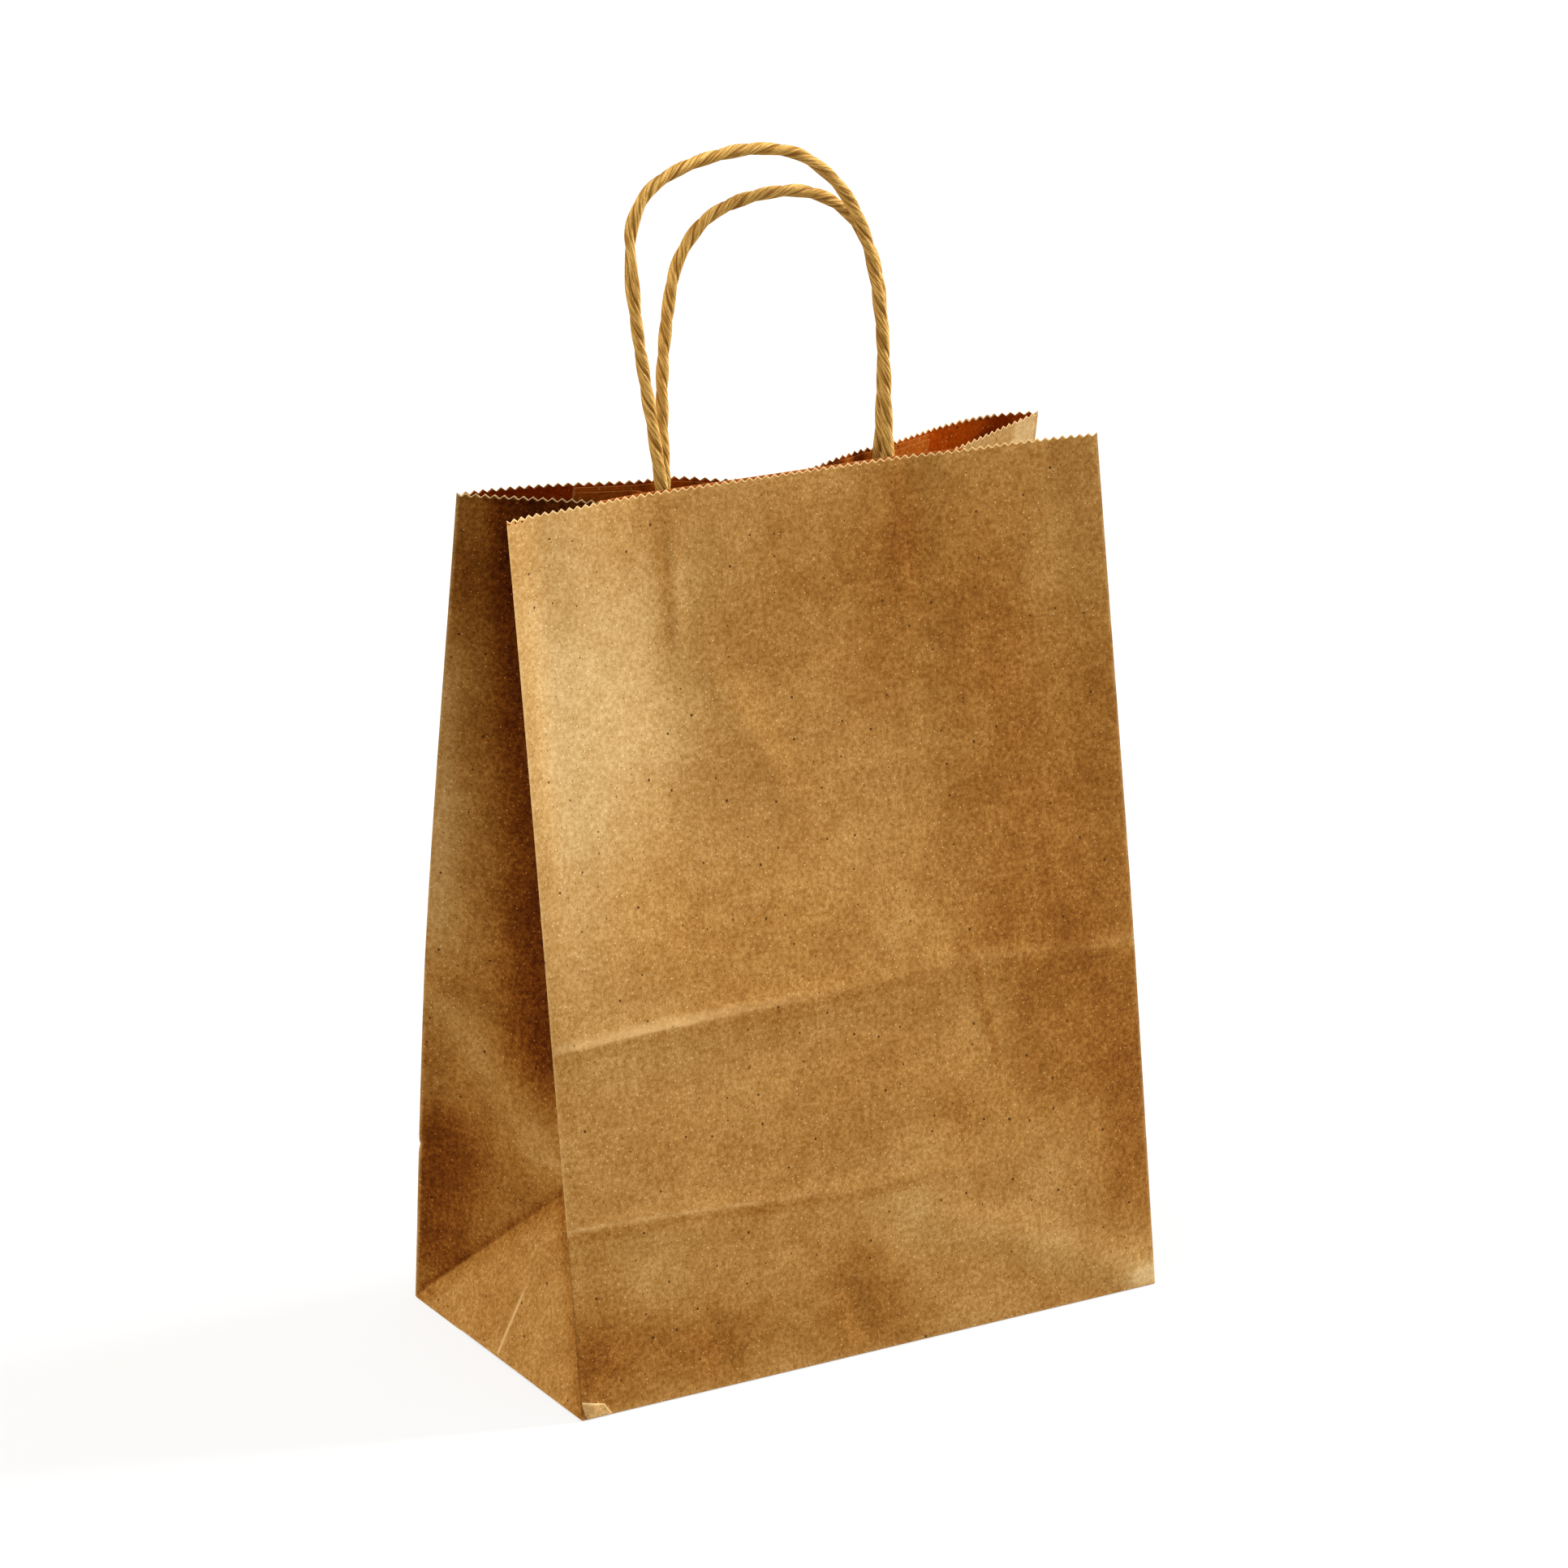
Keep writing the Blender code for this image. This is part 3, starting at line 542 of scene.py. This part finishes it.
def makeSheet():
    rows, columns = spacedRows(), sheetColumns()
    wall, gusset = bag["wallColumns"], bag["gussetColumns"]
    bm = bmesh.new()
    foldToneLayer = bm.verts.layers.float.new("foldWearHighlightDark")
    cutLayer = bm.verts.layers.float.new("fromCut")
    paintedShadeLayer = bm.verts.layers.float.new("paintedShadeAndTone")
    grid = gridOf(bm, len(columns) - 1, len(rows) - 1)
    place = {}
    for j, row in enumerate(rows):
        for i, (around, _) in enumerate(columns):
            place[grid[j][i]] = (around, row + rowShift(around, row))
    for first in (wall, 2 * wall + gusset):     # split the foot's cells along its slanting folds
        for j in range(footRows):
            for k in range(footRows):
                far = first + gusset - k
                for a, b in ((grid[j][first + k], grid[j + 1][first + k + 1]),
                             (grid[j][far], grid[j + 1][far - 1])):
                    bmesh.utils.face_split(next(face for face in a.link_faces if b in face.verts), a, b)
    setFlat(bm, place)
    for j in range(len(rows)):
        for i, (around, point) in enumerate(columns):
            vert = grid[j][i]
            s = place[vert][1]
            vert.co = point(s)
            top = bag["height"]
            if j == len(rows) - 1 and i % 2:
                vert.co.z -= bag["toothDepth"]
            vert[cutLayer] = min(top - s, 6.0)
            vert[foldToneLayer] = foldToneAmount(i, rows[j], around - halfWidth, s)
            vert[paintedShadeLayer] = paintedShadeAmount(around, s)
    bmesh.ops.remove_doubles(bm, verts=bm.verts, dist=0.01)
    lower = [e for e in bm.edges if e.is_boundary and max(v.co.z for v in e.verts) < bag["footZ"] + 0.01]
    floor = bmesh.ops.holes_fill(bm, edges=lower, sides=0)["faces"]
    uv = bm.loops.layers.uv["flatSheet"]
    for face in floor:
        for loop in face.loops:
            loop[uv].uv = ((loop.vert.co.x + 900) * millimetre, loop.vert.co.y * millimetre)
    bmesh.ops.recalc_face_normals(bm, faces=bm.faces)
    return finishPiece("kraft_sheet", bm, (kraftSheet, cutEdgeAndHighlight, kraftInsideShaded), bag["paper"])


# tone patches: on the front mostly painted shade (above 0) and painted light (below 0) where the lamps fall
# across the wall and its folds, with some handling marks; on the back, darker patches: across, up, reach
# across, reach up, how much
frontLightShadePatches = (
    (-88, 205, 40, 64, -0.40), (88, 150, 42, 72, 0.37), (98, 70, 20, 30, 0.16), (60, 205, 16, 40, 0.15),
    (-98, 16, 26, 14, 0.55), (-56, 12, 12, 16, 0.30), (-4, 14, 14, 18, 0.30), (-99, 200, 4, 50, 0.14),
    (36, 68, 9, 9, 0.18), (20, 30, 60, 30, 0.05), (34, 248, 6, 24, 0.22), (-48, 240, 3, 26, 0.22),
    (82, 240, 9, 24, -0.12), (-35, 138, 42, 28, 0.14), (0, 80, 60, 24, 0.08), (28, 228, 42, 38, 0.26),
    (60, 122, 30, 16, 0.14), (94, 40, 13, 22, 0.34), (98, 3, 8, 5, -0.55), (85, 12, 13, 7, -0.20),
    (64, 21, 14, 8, -0.20), (40, 31, 16, 9, -0.16), (15, 42, 14, 9, -0.14))
backTonePatches = (
    (10, 150, 120, 220, 0.15), (-70, 60, 40, 50, 0.30), (60, 210, 35, 50, 0.25), (30, 14, 14, 18, 0.3),
    (-40, 230, 30, 30, 0.2), (-84, 266, 28, 22, 0.30))


def patchSum(marks, x, s):
    return sum(much * math.exp(-((x - across) / wide) ** 2 - ((s - up) / high) ** 2)
               for across, up, wide, high, much in marks)


# painted shade and painted light on the front wall, with some handling marks: the tone patches, darker by
# the strip's imprint, painted shade just below both folds and a painted highlight just above the main fold
# on the right
def frontPaintedShade(x, s):
    shadeTone = patchSum(frontLightShadePatches, x, s) * ease(s / 5.0 + 0.45)
    shadeTone += 0.17 * ease((x - stripImprint(s) - 3) / 16) * window(s, 78, 98, 24)
    shadeTone += 0.30 * hump(x - stripImprint(s) - 3, 2.4) * window(s, 84, 110, 6)
    shadeTone += 0.09 * hump(s - through(mainCrease, x) + 2.4, 3.0) * (1 - ease((x - 20) / 30))
    shadeTone += 0.16 * hump(s - through(lowerCrease, x) + 2.2, 2.6) * (1 - ease((x - 10) / 20))
    shadeTone -= 0.17 * hump(s - through(mainCrease, x) - 1.5, 3.6) * ease((x - 42) / 6)
    return shadeTone


# painted shade of the gusset's recess: darker deep inside the fold, along its edges low down, just above
# the foot's slanting folds and near the top; painted light paler along the diagonal crease, by the left
# gusset's back edge at mid height, and high on the right gusset's back half where the key lamp falls; the
# right gusset gets about a third as much shade
def gussetPaintedShade(end, w, s):
    run = min(w, bag["depth"] - w)
    if s <= run + 0.01:
        return 0.04 + 0.25 * ease((s - 36) / 18) + 0.25 * (1 - ease((run - s) / 10))
    aboveFold = (s - run) / math.sqrt(2)
    fromDiagonal = abs(run - (bag["depth"] - s)) / math.sqrt(2)
    inside = (bag["depth"] - w) / halfDepth / (0.27 + 0.003 * (bag["height"] - s))
    shadeTone = 0.26 + 1.0 * ease((inside - 0.42) / 0.55) * ease((s - 68) / 30)
    shadeTone += 0.68 * hump(run - 6, 26) * window(s, 20, 56, 18) + 0.20 * window(s, 200, 232, 30)
    shadeTone -= 0.28 * hump(fromDiagonal, 15) * window(s, 62, 100, 10)
    shadeTone += 0.6 * (1 - ease(aboveFold / 3.0)) * ease(1.3 - run / 60)
    if end > 0:
        return 0.35 * shadeTone - 0.6 * ease((s - 190) / 60) * ease((w - halfDepth) / 20)
    outer = 0.50 * (1 - ease((inside - 0.02) / 0.45)) * window(s, 135, 200, 40)
    return shadeTone + 0.25 * ease((s - 225) / 20) - outer


# painted shade and painted light of every wall and gusset as one tone, with some handling marks and a
# little random tone
def paintedShadeAmount(around, s):
    wall, gusset = bag["width"], bag["depth"]
    around %= 2 * (wall + gusset)       # the last column closes the tube on the first
    if around <= wall:
        shadeTone = frontPaintedShade(around - halfWidth, s)
    elif around < wall + gusset:
        shadeTone = gussetPaintedShade(1, around - wall, s)
    elif around <= 2 * wall + gusset:
        shadeTone = patchSum(backTonePatches, wall + gusset + halfWidth - around, s)
    else:
        shadeTone = gussetPaintedShade(-1, 2 * (wall + gusset) - around, s)
    return max(shadeTone + 0.11 * swell(around, s, 33.0, 2.2), -0.4)


mainFoldWearAndHighlight = {mainRow: 0.70, 112.0: 0.66, 113.3: 0.42}     # a soft pale band just above the main fold: fold wear and a painted highlight on the fold's ridge


def foldToneAmount(column, row, x, s):
    # above 0: pale along a fold, where fibres stand up, and above the main fold also a painted highlight;
    # below 0: darker along a fold
    wall, gusset = bag["wallColumns"], bag["gussetColumns"]
    rubbed = 0.6 + 0.5 * noise.noise(Vector((s / 9.0, column / 9.0, 0.0)))
    if row == 0:
        return 0.1
    if column in (0, 2 * (wall + gusset)):
        return 0.9 * rubbed if s > halfDepth else -0.95
    if column in (wall + gusset // 2, 2 * wall + gusset + gusset // 2):
        return 0.9 * ease((30 - s) / 12) if s < halfDepth else 0.0
    if column in (wall, wall + gusset, 2 * wall + gusset):
        return rubbed
    if row in mainFoldWearAndHighlight and x < halfWidth:
        return mainFoldWearAndHighlight[row] * (0.45 + 0.6 * rubbed) * (1 - 0.75 * ease((x + 55) / 60))
    if row == lowerRow and x < halfWidth:
        return 0.75 * rubbed * (1 - ease((x + 45) / 60))
    w = 2 * (bag["width"] + bag["depth"]) - halfWidth - x
    if row == pointRow and 0 < w < bag["depth"]:
        return 0.7 * rubbed * hump(w - 60, 20)      # short rubbed line over the foot's point
    return 0.0


sheet = makeSheet()
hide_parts("bag_body")
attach(sheet, "root")
print("sheet folded:", len(sheet.data.polygons), "faces")


flap = {
    "reach": 66.0,          # mm over the bottom
    "cornerCut": 30.0,      # mm, where the gussets fold under
    "frontZ": 0.31, "backZ": 0.11,      # mm, the back wall's flap is glued on last
    "rollRadius": 0.35,
    "columns": 96, "rows": 28, "rollRows": 3,
}


def makeFlap(name, side, level):
    # laid flat under the bag, its long edge rolled up into the foot of its wall
    corner = halfWidth - 0.15
    columns, rows, rollRows = flap["columns"], flap["rows"], flap["rollRows"]
    bm = bmesh.new()
    cut = bm.verts.layers.float.new("fromCut")
    grid = gridOf(bm, columns, rows)
    place = {}
    for j in range(rows + 1):
        back = flap["reach"] * (max(j - rollRows, 0) / (rows - rollRows))
        reach = corner
        if back >= flap["cornerCut"]:
            reach -= (back - flap["cornerCut"]) * (flap["cornerCut"] / (flap["reach"] - flap["cornerCut"]))
        turn = math.radians(90) * (1 - min(j, rollRows) / rollRows)
        for i in range(columns + 1):
            x = reach * (2 * i / columns - 1)
            y = side * (halfDepth - flap["rollRadius"] - back + flap["rollRadius"] * math.sin(turn))
            z = level + flap["rollRadius"] * (1 - math.cos(turn))
            grid[j][i].co = (x, y, z)
            place[grid[j][i]] = (x + 1400 * side, back)
    setFlat(bm, place)
    bmesh.ops.recalc_face_normals(bm, faces=bm.faces)
    for vert in bm.verts:
        vert[cut] = 0.0 if vert.is_boundary and abs(vert.co.y) < halfDepth - 1 else 2.0
    piece = finishPiece(name, bm, (kraftSheet, cutEdgeAndHighlight), bag["paper"])
    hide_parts("bag_body")
    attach(piece, "root")
    return piece


makeFlap("front_bottom_flap", -1, flap["frontZ"])
makeFlap("rear_bottom_flap", 1, flap["backZ"])
print("bottom flaps laid")


ear = {
    "length": 9.7, "height": 5.4,       # mm
    "slantTop": 2.2, "slantEnd": 2.0, "blunt": 1.5,     # mm, how its far end, top and corner are skewed
    "clear": 0.24, "lift": 0.6,         # mm off the wall, and how far its top stands up
    "columns": 12, "rows": 6, "paper": 0.16,
}


def makeCornerEar():
    # the front left corner of the foot was knocked: a small fold of paper lies over it
    columns, rows = ear["columns"], ear["rows"]
    bm = bmesh.new()
    cut = bm.verts.layers.float.new("fromCut")
    grid = gridOf(bm, columns, rows)
    place = {}
    for j in range(rows + 1):
        up = j / rows
        for i in range(columns + 1):
            across = i / columns
            blunt = ear["blunt"] * (1 - up) ** 2
            x = -halfWidth + 0.3 + blunt + across * (ear["length"] - blunt - ear["slantTop"] * up)
            s = 0.1 + up * (ear["height"] - ear["slantEnd"] * across)
            lift = ear["clear"] + ear["lift"] * up * math.sin(math.pi * min(across * 1.2 + 0.1, 1.0))
            grid[j][i].co = outwards(-1, x, s, lift)
            grid[j][i][cut] = 0.0 if j == rows or i == columns else 0.56
            place[grid[j][i]] = (x + 2700, s)
    setFlat(bm, place)
    bmesh.ops.recalc_face_normals(bm, faces=bm.faces)
    return finishPiece("corner_fold", bm, (kraftSheet, cutEdgeAndHighlight), ear["paper"])


lap = {
    "near": 74.0,                       # mm across, its glued edge
    "columns": 10, "columnWidth": 1.4,
    "off": 0.19, "sunk": 0.17,          # mm, on the wall, and how far its far edge runs into it
    "paper": 0.16,
}


def makeLap():
    # where the sheet's own edge is glued to itself, up the back wall
    bm = bmesh.new()
    cut = bm.verts.layers.float.new("fromCut")
    paintedShadeAndTone = bm.verts.layers.float.new("paintedShadeAndTone")
    rows = [s for s in spacedRows() if s > 1.0]
    grid = gridOf(bm, lap["columns"], len(rows) - 1)
    place = {}
    for j, s in enumerate(rows):
        for i in range(lap["columns"] + 1):
            x = lap["near"] + i * lap["columnWidth"]
            point = outwards(1, x, s, lap["off"] - lap["sunk"] * ease((i - 6) / 4))
            if j == len(rows) - 1 and (i % 2):
                point.z -= bag["toothDepth"]
            grid[j][i].co = point
            grid[j][i][cut] = 0.25 if i == 0 else min(bag["height"] - s, 2.0)
            grid[j][i][paintedShadeAndTone] = paintedShadeAmount(bag["width"] + bag["depth"] + halfWidth - x, s)
            place[grid[j][i]] = (x + 3100, s)
    setFlat(bm, place)
    bmesh.ops.recalc_face_normals(bm, faces=bm.faces)
    return finishPiece("glued_lap", bm, (kraftSheet, cutEdgeAndHighlight), lap["paper"])


for piece in (makeCornerEar(), makeLap()):
    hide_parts("bag_body")
    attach(piece, "root")
print("corner and lap made")


strip = {
    "width": 125.0, "height": 50.0, "paper": 0.2,
    "frontEdge": 0.1, "backEdge": 1.5,      # mm below the tips of the teeth
    "first": 0.575,         # mm from the middle of the wall to the middle of the first strip
    "second": 1.125,
    "lift": 4.2, "coverHalf": 2.7, "coverRamp": 6.0,    # where the second goes over a cord's end
    "columns": 125, "rows": 20,
}
cordEnds = {-1: (-44.8, 32.6), 1: (-40.9, 33.4)}


def makeStrip(name, node, side, overCord):
    legs = cordEnds[side]
    middle = sum(legs) / 2
    edge = strip["frontEdge"] if side < 0 else strip["backEdge"]
    top = bag["height"] - edge
    bottom = bag["height"] - 1.6 - strip["height"]
    if overCord:
        top -= 1.4
    columns, rows = strip["columns"], strip["rows"]
    bm = bmesh.new()
    cut = bm.verts.layers.float.new("fromCut")
    grid = gridOf(bm, columns, rows)
    place = {}
    for j in range(rows + 1):
        s = bottom + (top - bottom) * j / rows
        for i in range(columns + 1):
            x = middle + strip["width"] * (i / columns - 0.5)
            off = strip["second"] if overCord else strip["first"]
            if overCord:
                away = min(abs(x - leg) for leg in legs) - strip["coverHalf"]
                off += strip["lift"] * (1 - ease(away / strip["coverRamp"]))
            grid[j][i].co = wallInwards(side, x, s, off)
            grid[j][i][cut] = 0.6 if i in (0, columns) or j in (0, rows) else 2.0
            place[grid[j][i]] = (x + (2300 if overCord else 1900), s)
    setFlat(bm, place)
    bmesh.ops.recalc_face_normals(bm, faces=bm.faces)
    piece = finishPiece(name, bm, (kraftStripShaded, stripEdgeShaded), strip["paper"])
    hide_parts(node)
    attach(piece, "root")
    return piece


for side, word in ((-1, "front"), (1, "rear")):
    makeStrip(word + "_patch_strip", word + "_handle_patch", side, False)
    makeStrip(word + "_backing_strip", word + "_handle_backing", side, True)
print("handle strips glued")


cord = {
    "ply": 1.62, "offset": 0.30,    # mm, radius of a ply and how far its middle is from the cord's
    "furrow": 0.24,                 # mm, how deep the line between the plies is pressed in
    "loose": {-1: 66.0, 1: None},   # mm above the rim on the left leg, where the twist has opened
    "pitch": 21.0,                  # mm for a full turn
    "sides": 32, "step": 0.75,
    "tuck": 46.0, "stack": 2.925,   # mm, length glued in, and cord's middle from the wall's
}
# free loops, left to right: across, towards the back, above the rim
loops = {
    -1: ((-47.2, -3.9, 17.0), (-50.0, -3.3, 35.1), (-52.0, -2.9, 50.0), (-53.3, -2.4, 66.0),
         (-52.6, -2.0, 77.5), (-47.2, -1.7, 86.8), (-37.0, -1.5, 92.3), (-24.0, -1.4, 95.2),
         (-11.0, -1.4, 95.9), (2.0, -1.5, 93.4), (11.2, -1.7, 87.7), (18.0, -1.9, 80.8),
         (23.4, -2.2, 71.8), (27.4, -2.5, 60.5), (30.0, -2.9, 47.0), (31.4, -3.4, 32.0),
         (32.1, -3.9, 15.0)),
    1: ((-41.1, 1.6, 18.0), (-40.8, 2.0, 32.0), (-39.4, 2.4, 45.0), (-36.7, 2.8, 60.0),
        (-32.5, 3.1, 69.0), (-25.0, 3.4, 76.6), (-15.0, 3.6, 80.6), (-3.0, 3.8, 82.2),
        (8.5, 3.9, 81.3), (19.0, 3.9, 76.8), (27.0, 3.8, 69.0), (32.5, 3.6, 57.0),
        (34.8, 3.3, 42.0), (35.0, 2.8, 27.0), (34.3, 2.3, 13.0)),
}


def spread(points, spacing):
    # evenly spaced points on a smooth curve through the given ones
    dense = []
    last = len(points) - 1
    for k in range(last):
        before, start, end, after = (points[min(max(i, 0), last)] for i in (k - 1, k, k + 1, k + 2))
        for n in range(24):
            t = n / 24
            dense.append(0.5 * (2 * start + (end - before) * t
                                + (2 * before - 5 * start + 4 * end - after) * t * t
                                + (3 * start - before - 3 * end + after) * t * t * t))
    dense.append(points[last])
    lengths = [0.0]
    for a, b in zip(dense, dense[1:]):
        lengths.append(lengths[-1] + (b - a).length)
    count = round(lengths[-1] / spacing)
    route, k = [], 0
    for n in range(count + 1):
        want = lengths[-1] * n / count
        while k < len(lengths) - 2 and lengths[k + 1] < want:
            k += 1
        route.append(dense[k].lerp(dense[k + 1], (want - lengths[k]) / (lengths[k + 1] - lengths[k])))
    return route


def makeCord(name, node, side, seed):
    legs = cordEnds[side]
    rimZ = wallPoint(side, 0.0, bag["height"]).z
    levels = [bag["height"] - cord["tuck"] * share for share in (1.0, 0.75, 0.5, 0.25, 0.0)]
    left = [wallInwards(side, legs[0], s, cord["stack"]) for s in levels]
    right = [wallInwards(side, legs[1], s, cord["stack"]) for s in reversed(levels)]
    free = [Vector((x, y, rimZ + rise)) for x, y, rise in loops[side]]
    route = spread(left + free + right, cord["step"])
    sides = cord["sides"]
    bm = bmesh.new()
    plyGrooveShade = bm.verts.layers.float.new("plyGrooveShade")
    grid = gridOf(bm, sides, len(route) - 1)
    place = {}
    across = Vector((0.0, 1.0, 0.0))
    turn = seed
    for j, middle in enumerate(route):
        along = (route[min(j + 1, len(route) - 1)] - route[max(j - 1, 0)]).normalized()
        across = (across - along * across.dot(along)).normalized()
        other = along.cross(across)
        travelled = j * cord["step"]
        pace = 1 + 0.35 * noise.noise(Vector((travelled / 40, seed, 0.0)))
        turn -= math.tau * cord["step"] / cord["pitch"] * pace      # laid like the middle of an S
        ply = cord["ply"] * (1 + 0.08 * noise.noise(Vector((travelled / 9, seed, 4.0))))
        offset = cord["offset"] * (1 + 0.25 * noise.noise(Vector((travelled / 14, seed, 9.0))))
        if cord["loose"][side] and j < len(route) / 2:
            opened = hump(middle.z - rimZ - cord["loose"][side], 16.0)
            offset += 0.75 * opened
            ply -= 0.32 * opened
            turn += 0.75 * opened * math.tau * cord["step"] / cord["pitch"] * pace
        for i in range(sides + 1):
            angle = math.tau * i / sides
            radius = offset * abs(math.cos(angle)) + math.sqrt(ply ** 2 - (offset * math.sin(angle)) ** 2)
            crumpled = Vector((3.0 * math.cos(angle), 3.0 * math.sin(angle), travelled / 6 + seed))
            radius *= 1 + 0.03 * noise.noise(crumpled)
            radius -= cord["furrow"] * math.exp(-((abs(math.sin(angle)) - 1.0) / 0.035) ** 2)
            spot = across * math.cos(angle + turn) + other * math.sin(angle + turn)
            vert = grid[j][i]
            vert.co = middle + spot * radius
            vert[plyGrooveShade] = ridge(abs(math.sin(angle)) - 1.0, 0.05)
            place[vert] = (angle * 1.9 + 40 * seed, travelled)
    setFlat(bm, place)
    bmesh.ops.remove_doubles(bm, verts=bm.verts, dist=0.005)
    bmesh.ops.holes_fill(bm, edges=[e for e in bm.edges if e.is_boundary], sides=0)
    bmesh.ops.recalc_face_normals(bm, faces=bm.faces)
    piece = finishPiece(name, bm, (cordPaper,), sharp=45)
    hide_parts(node)
    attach(piece, "root")
    print(name, "is", round((len(route) - 1) * cord["step"]), "mm long")
    return piece


makeCord("front_cord", "front_handle", -1, 1.3)
makeCord("rear_cord", "rear_handle", 1, 2.9)


camera = {"place": (-0.7855, -1.3301, 0.6562), "target": (-0.00083, 0.0, 0.1655), "lens": 123.38}
lens = bpy.data.cameras.new("camera")
lens.lens = camera["lens"]
lens.sensor_width = 36.0
lens.clip_end = 50.0
viewer = bpy.data.objects.new("camera", lens)
viewer.location = camera["place"]
looking = Vector(camera["target"]) - Vector(camera["place"])
viewer.rotation_euler = looking.to_track_quat("-Z", "Y").to_euler()
bpy.context.scene.collection.objects.link(viewer)
bpy.context.scene.camera = viewer

studio = {
    "floorSize": 12.0,                          # m
    "floorPaint": (0.42, 0.41, 0.39, 1.0),      # what the floor throws back on the bag
    "floorShade": (0.20, 0.20, 0.20, 1.0),      # what the camera sees of lamps and shadow
    "floorGlow": 0.72,                          # and how much white is added to that
    "keyPower": 5.2, "keyFrom": (0.90, -0.16, 0.40), "keyWidth": 12,
    "topPower": 2.6, "topFrom": (-0.22, -0.05, 1.0), "topWidth": 40,
    "sidePower": 1.2, "sideFrom": (-0.93, 0.05, 0.38), "sideWidth": 25, "sideColour": (1.0, 0.88, 0.70),
    "skyLeft": 0.12, "skyRight": 0.66, "skyColour": (1.0, 0.89, 0.72, 1.0),
}


def addSun(name, power, direction, width, colour=(1.0, 1.0, 1.0)):
    light = bpy.data.lights.new(name, "SUN")
    light.energy = power
    light.angle = math.radians(width)
    light.color = colour
    lamp = bpy.data.objects.new(name, light)
    lamp.rotation_euler = Vector(direction).to_track_quat("Z", "Y").to_euler()
    bpy.context.scene.collection.objects.link(lamp)


addSun("key lamp", studio["keyPower"], studio["keyFrom"], studio["keyWidth"])
addSun("top lamp", studio["topPower"], studio["topFrom"], studio["topWidth"])
addSun("side lamp", studio["sidePower"], studio["sideFrom"], studio["sideWidth"], studio["sideColour"])


def seenDirectly(tree):
    # 1 for what the camera sees, also by way of gloss or glass; 0 for light that falls on things
    path = addNode(tree, "ShaderNodeLightPath").outputs
    mirrored = combined(tree, "MAXIMUM", path["Is Glossy Ray"], path["Is Transmission Ray"])
    return combined(tree, "MAXIMUM", path["Is Camera Ray"], mirrored)


world = bpy.data.worlds.new("studio")
bpy.context.scene.world = world
world.use_nodes = True
skyTree = world.node_tree
seen = seenDirectly(skyTree)
direction = addNode(skyTree, "ShaderNodeTexCoord").outputs["Generated"]
across = addNode(skyTree, "ShaderNodeSeparateXYZ", ((0, direction),)).outputs["X"]
softbox = addNode(skyTree, "ShaderNodeMapRange", (
    ("Value", across), ("From Min", -1.0), ("From Max", 1.0),
    ("To Min", studio["skyLeft"]), ("To Max", studio["skyRight"]))).outputs["Result"]
strength = addNode(skyTree, "ShaderNodeMix", ((0, seen), (2, softbox), (3, 1.0)), data_type="FLOAT")
skyTree.links.new(strength.outputs[0], skyTree.nodes["Background"].inputs["Strength"])
tint = mixColour(skyTree, seen, studio["skyColour"], (1.0, 1.0, 1.0, 1.0))
skyTree.links.new(tint, skyTree.nodes["Background"].inputs["Color"])

bm = bmesh.new()
bmesh.ops.create_grid(bm, x_segments=1, y_segments=1, size=studio["floorSize"] / 2)
floorMesh = bpy.data.meshes.new("floor")
bm.to_mesh(floorMesh)
bm.free()
floor = bpy.data.objects.new("floor", floorMesh)
bpy.context.scene.collection.objects.link(floor)
# plain matt sweep, white to the camera
floorPaint = bpy.data.materials.new("white studio paper")
floorPaint.use_nodes = True
floorTree = floorPaint.node_tree
floorTree.nodes.remove(floorTree.nodes["Principled BSDF"])
floorMesh.materials.append(floorPaint)
matt = addNode(floorTree, "ShaderNodeBsdfDiffuse", (("Color", studio["floorPaint"]),))
shadowCatch = addNode(floorTree, "ShaderNodeBsdfDiffuse", (("Color", studio["floorShade"]),))
glow = addNode(floorTree, "ShaderNodeEmission",
               (("Color", (1.0, 1.0, 1.0, 1.0)), ("Strength", studio["floorGlow"])))
white = addNode(floorTree, "ShaderNodeAddShader", ((0, shadowCatch.outputs[0]), (1, glow.outputs[0])))
seen = seenDirectly(floorTree)
both = addNode(floorTree, "ShaderNodeMixShader", ((0, seen), (1, matt.outputs[0]), (2, white.outputs[0])))
floorTree.links.new(both.outputs[0], floorTree.nodes["Material Output"].inputs["Surface"])

bpy.context.scene.view_settings.view_transform = "Standard"
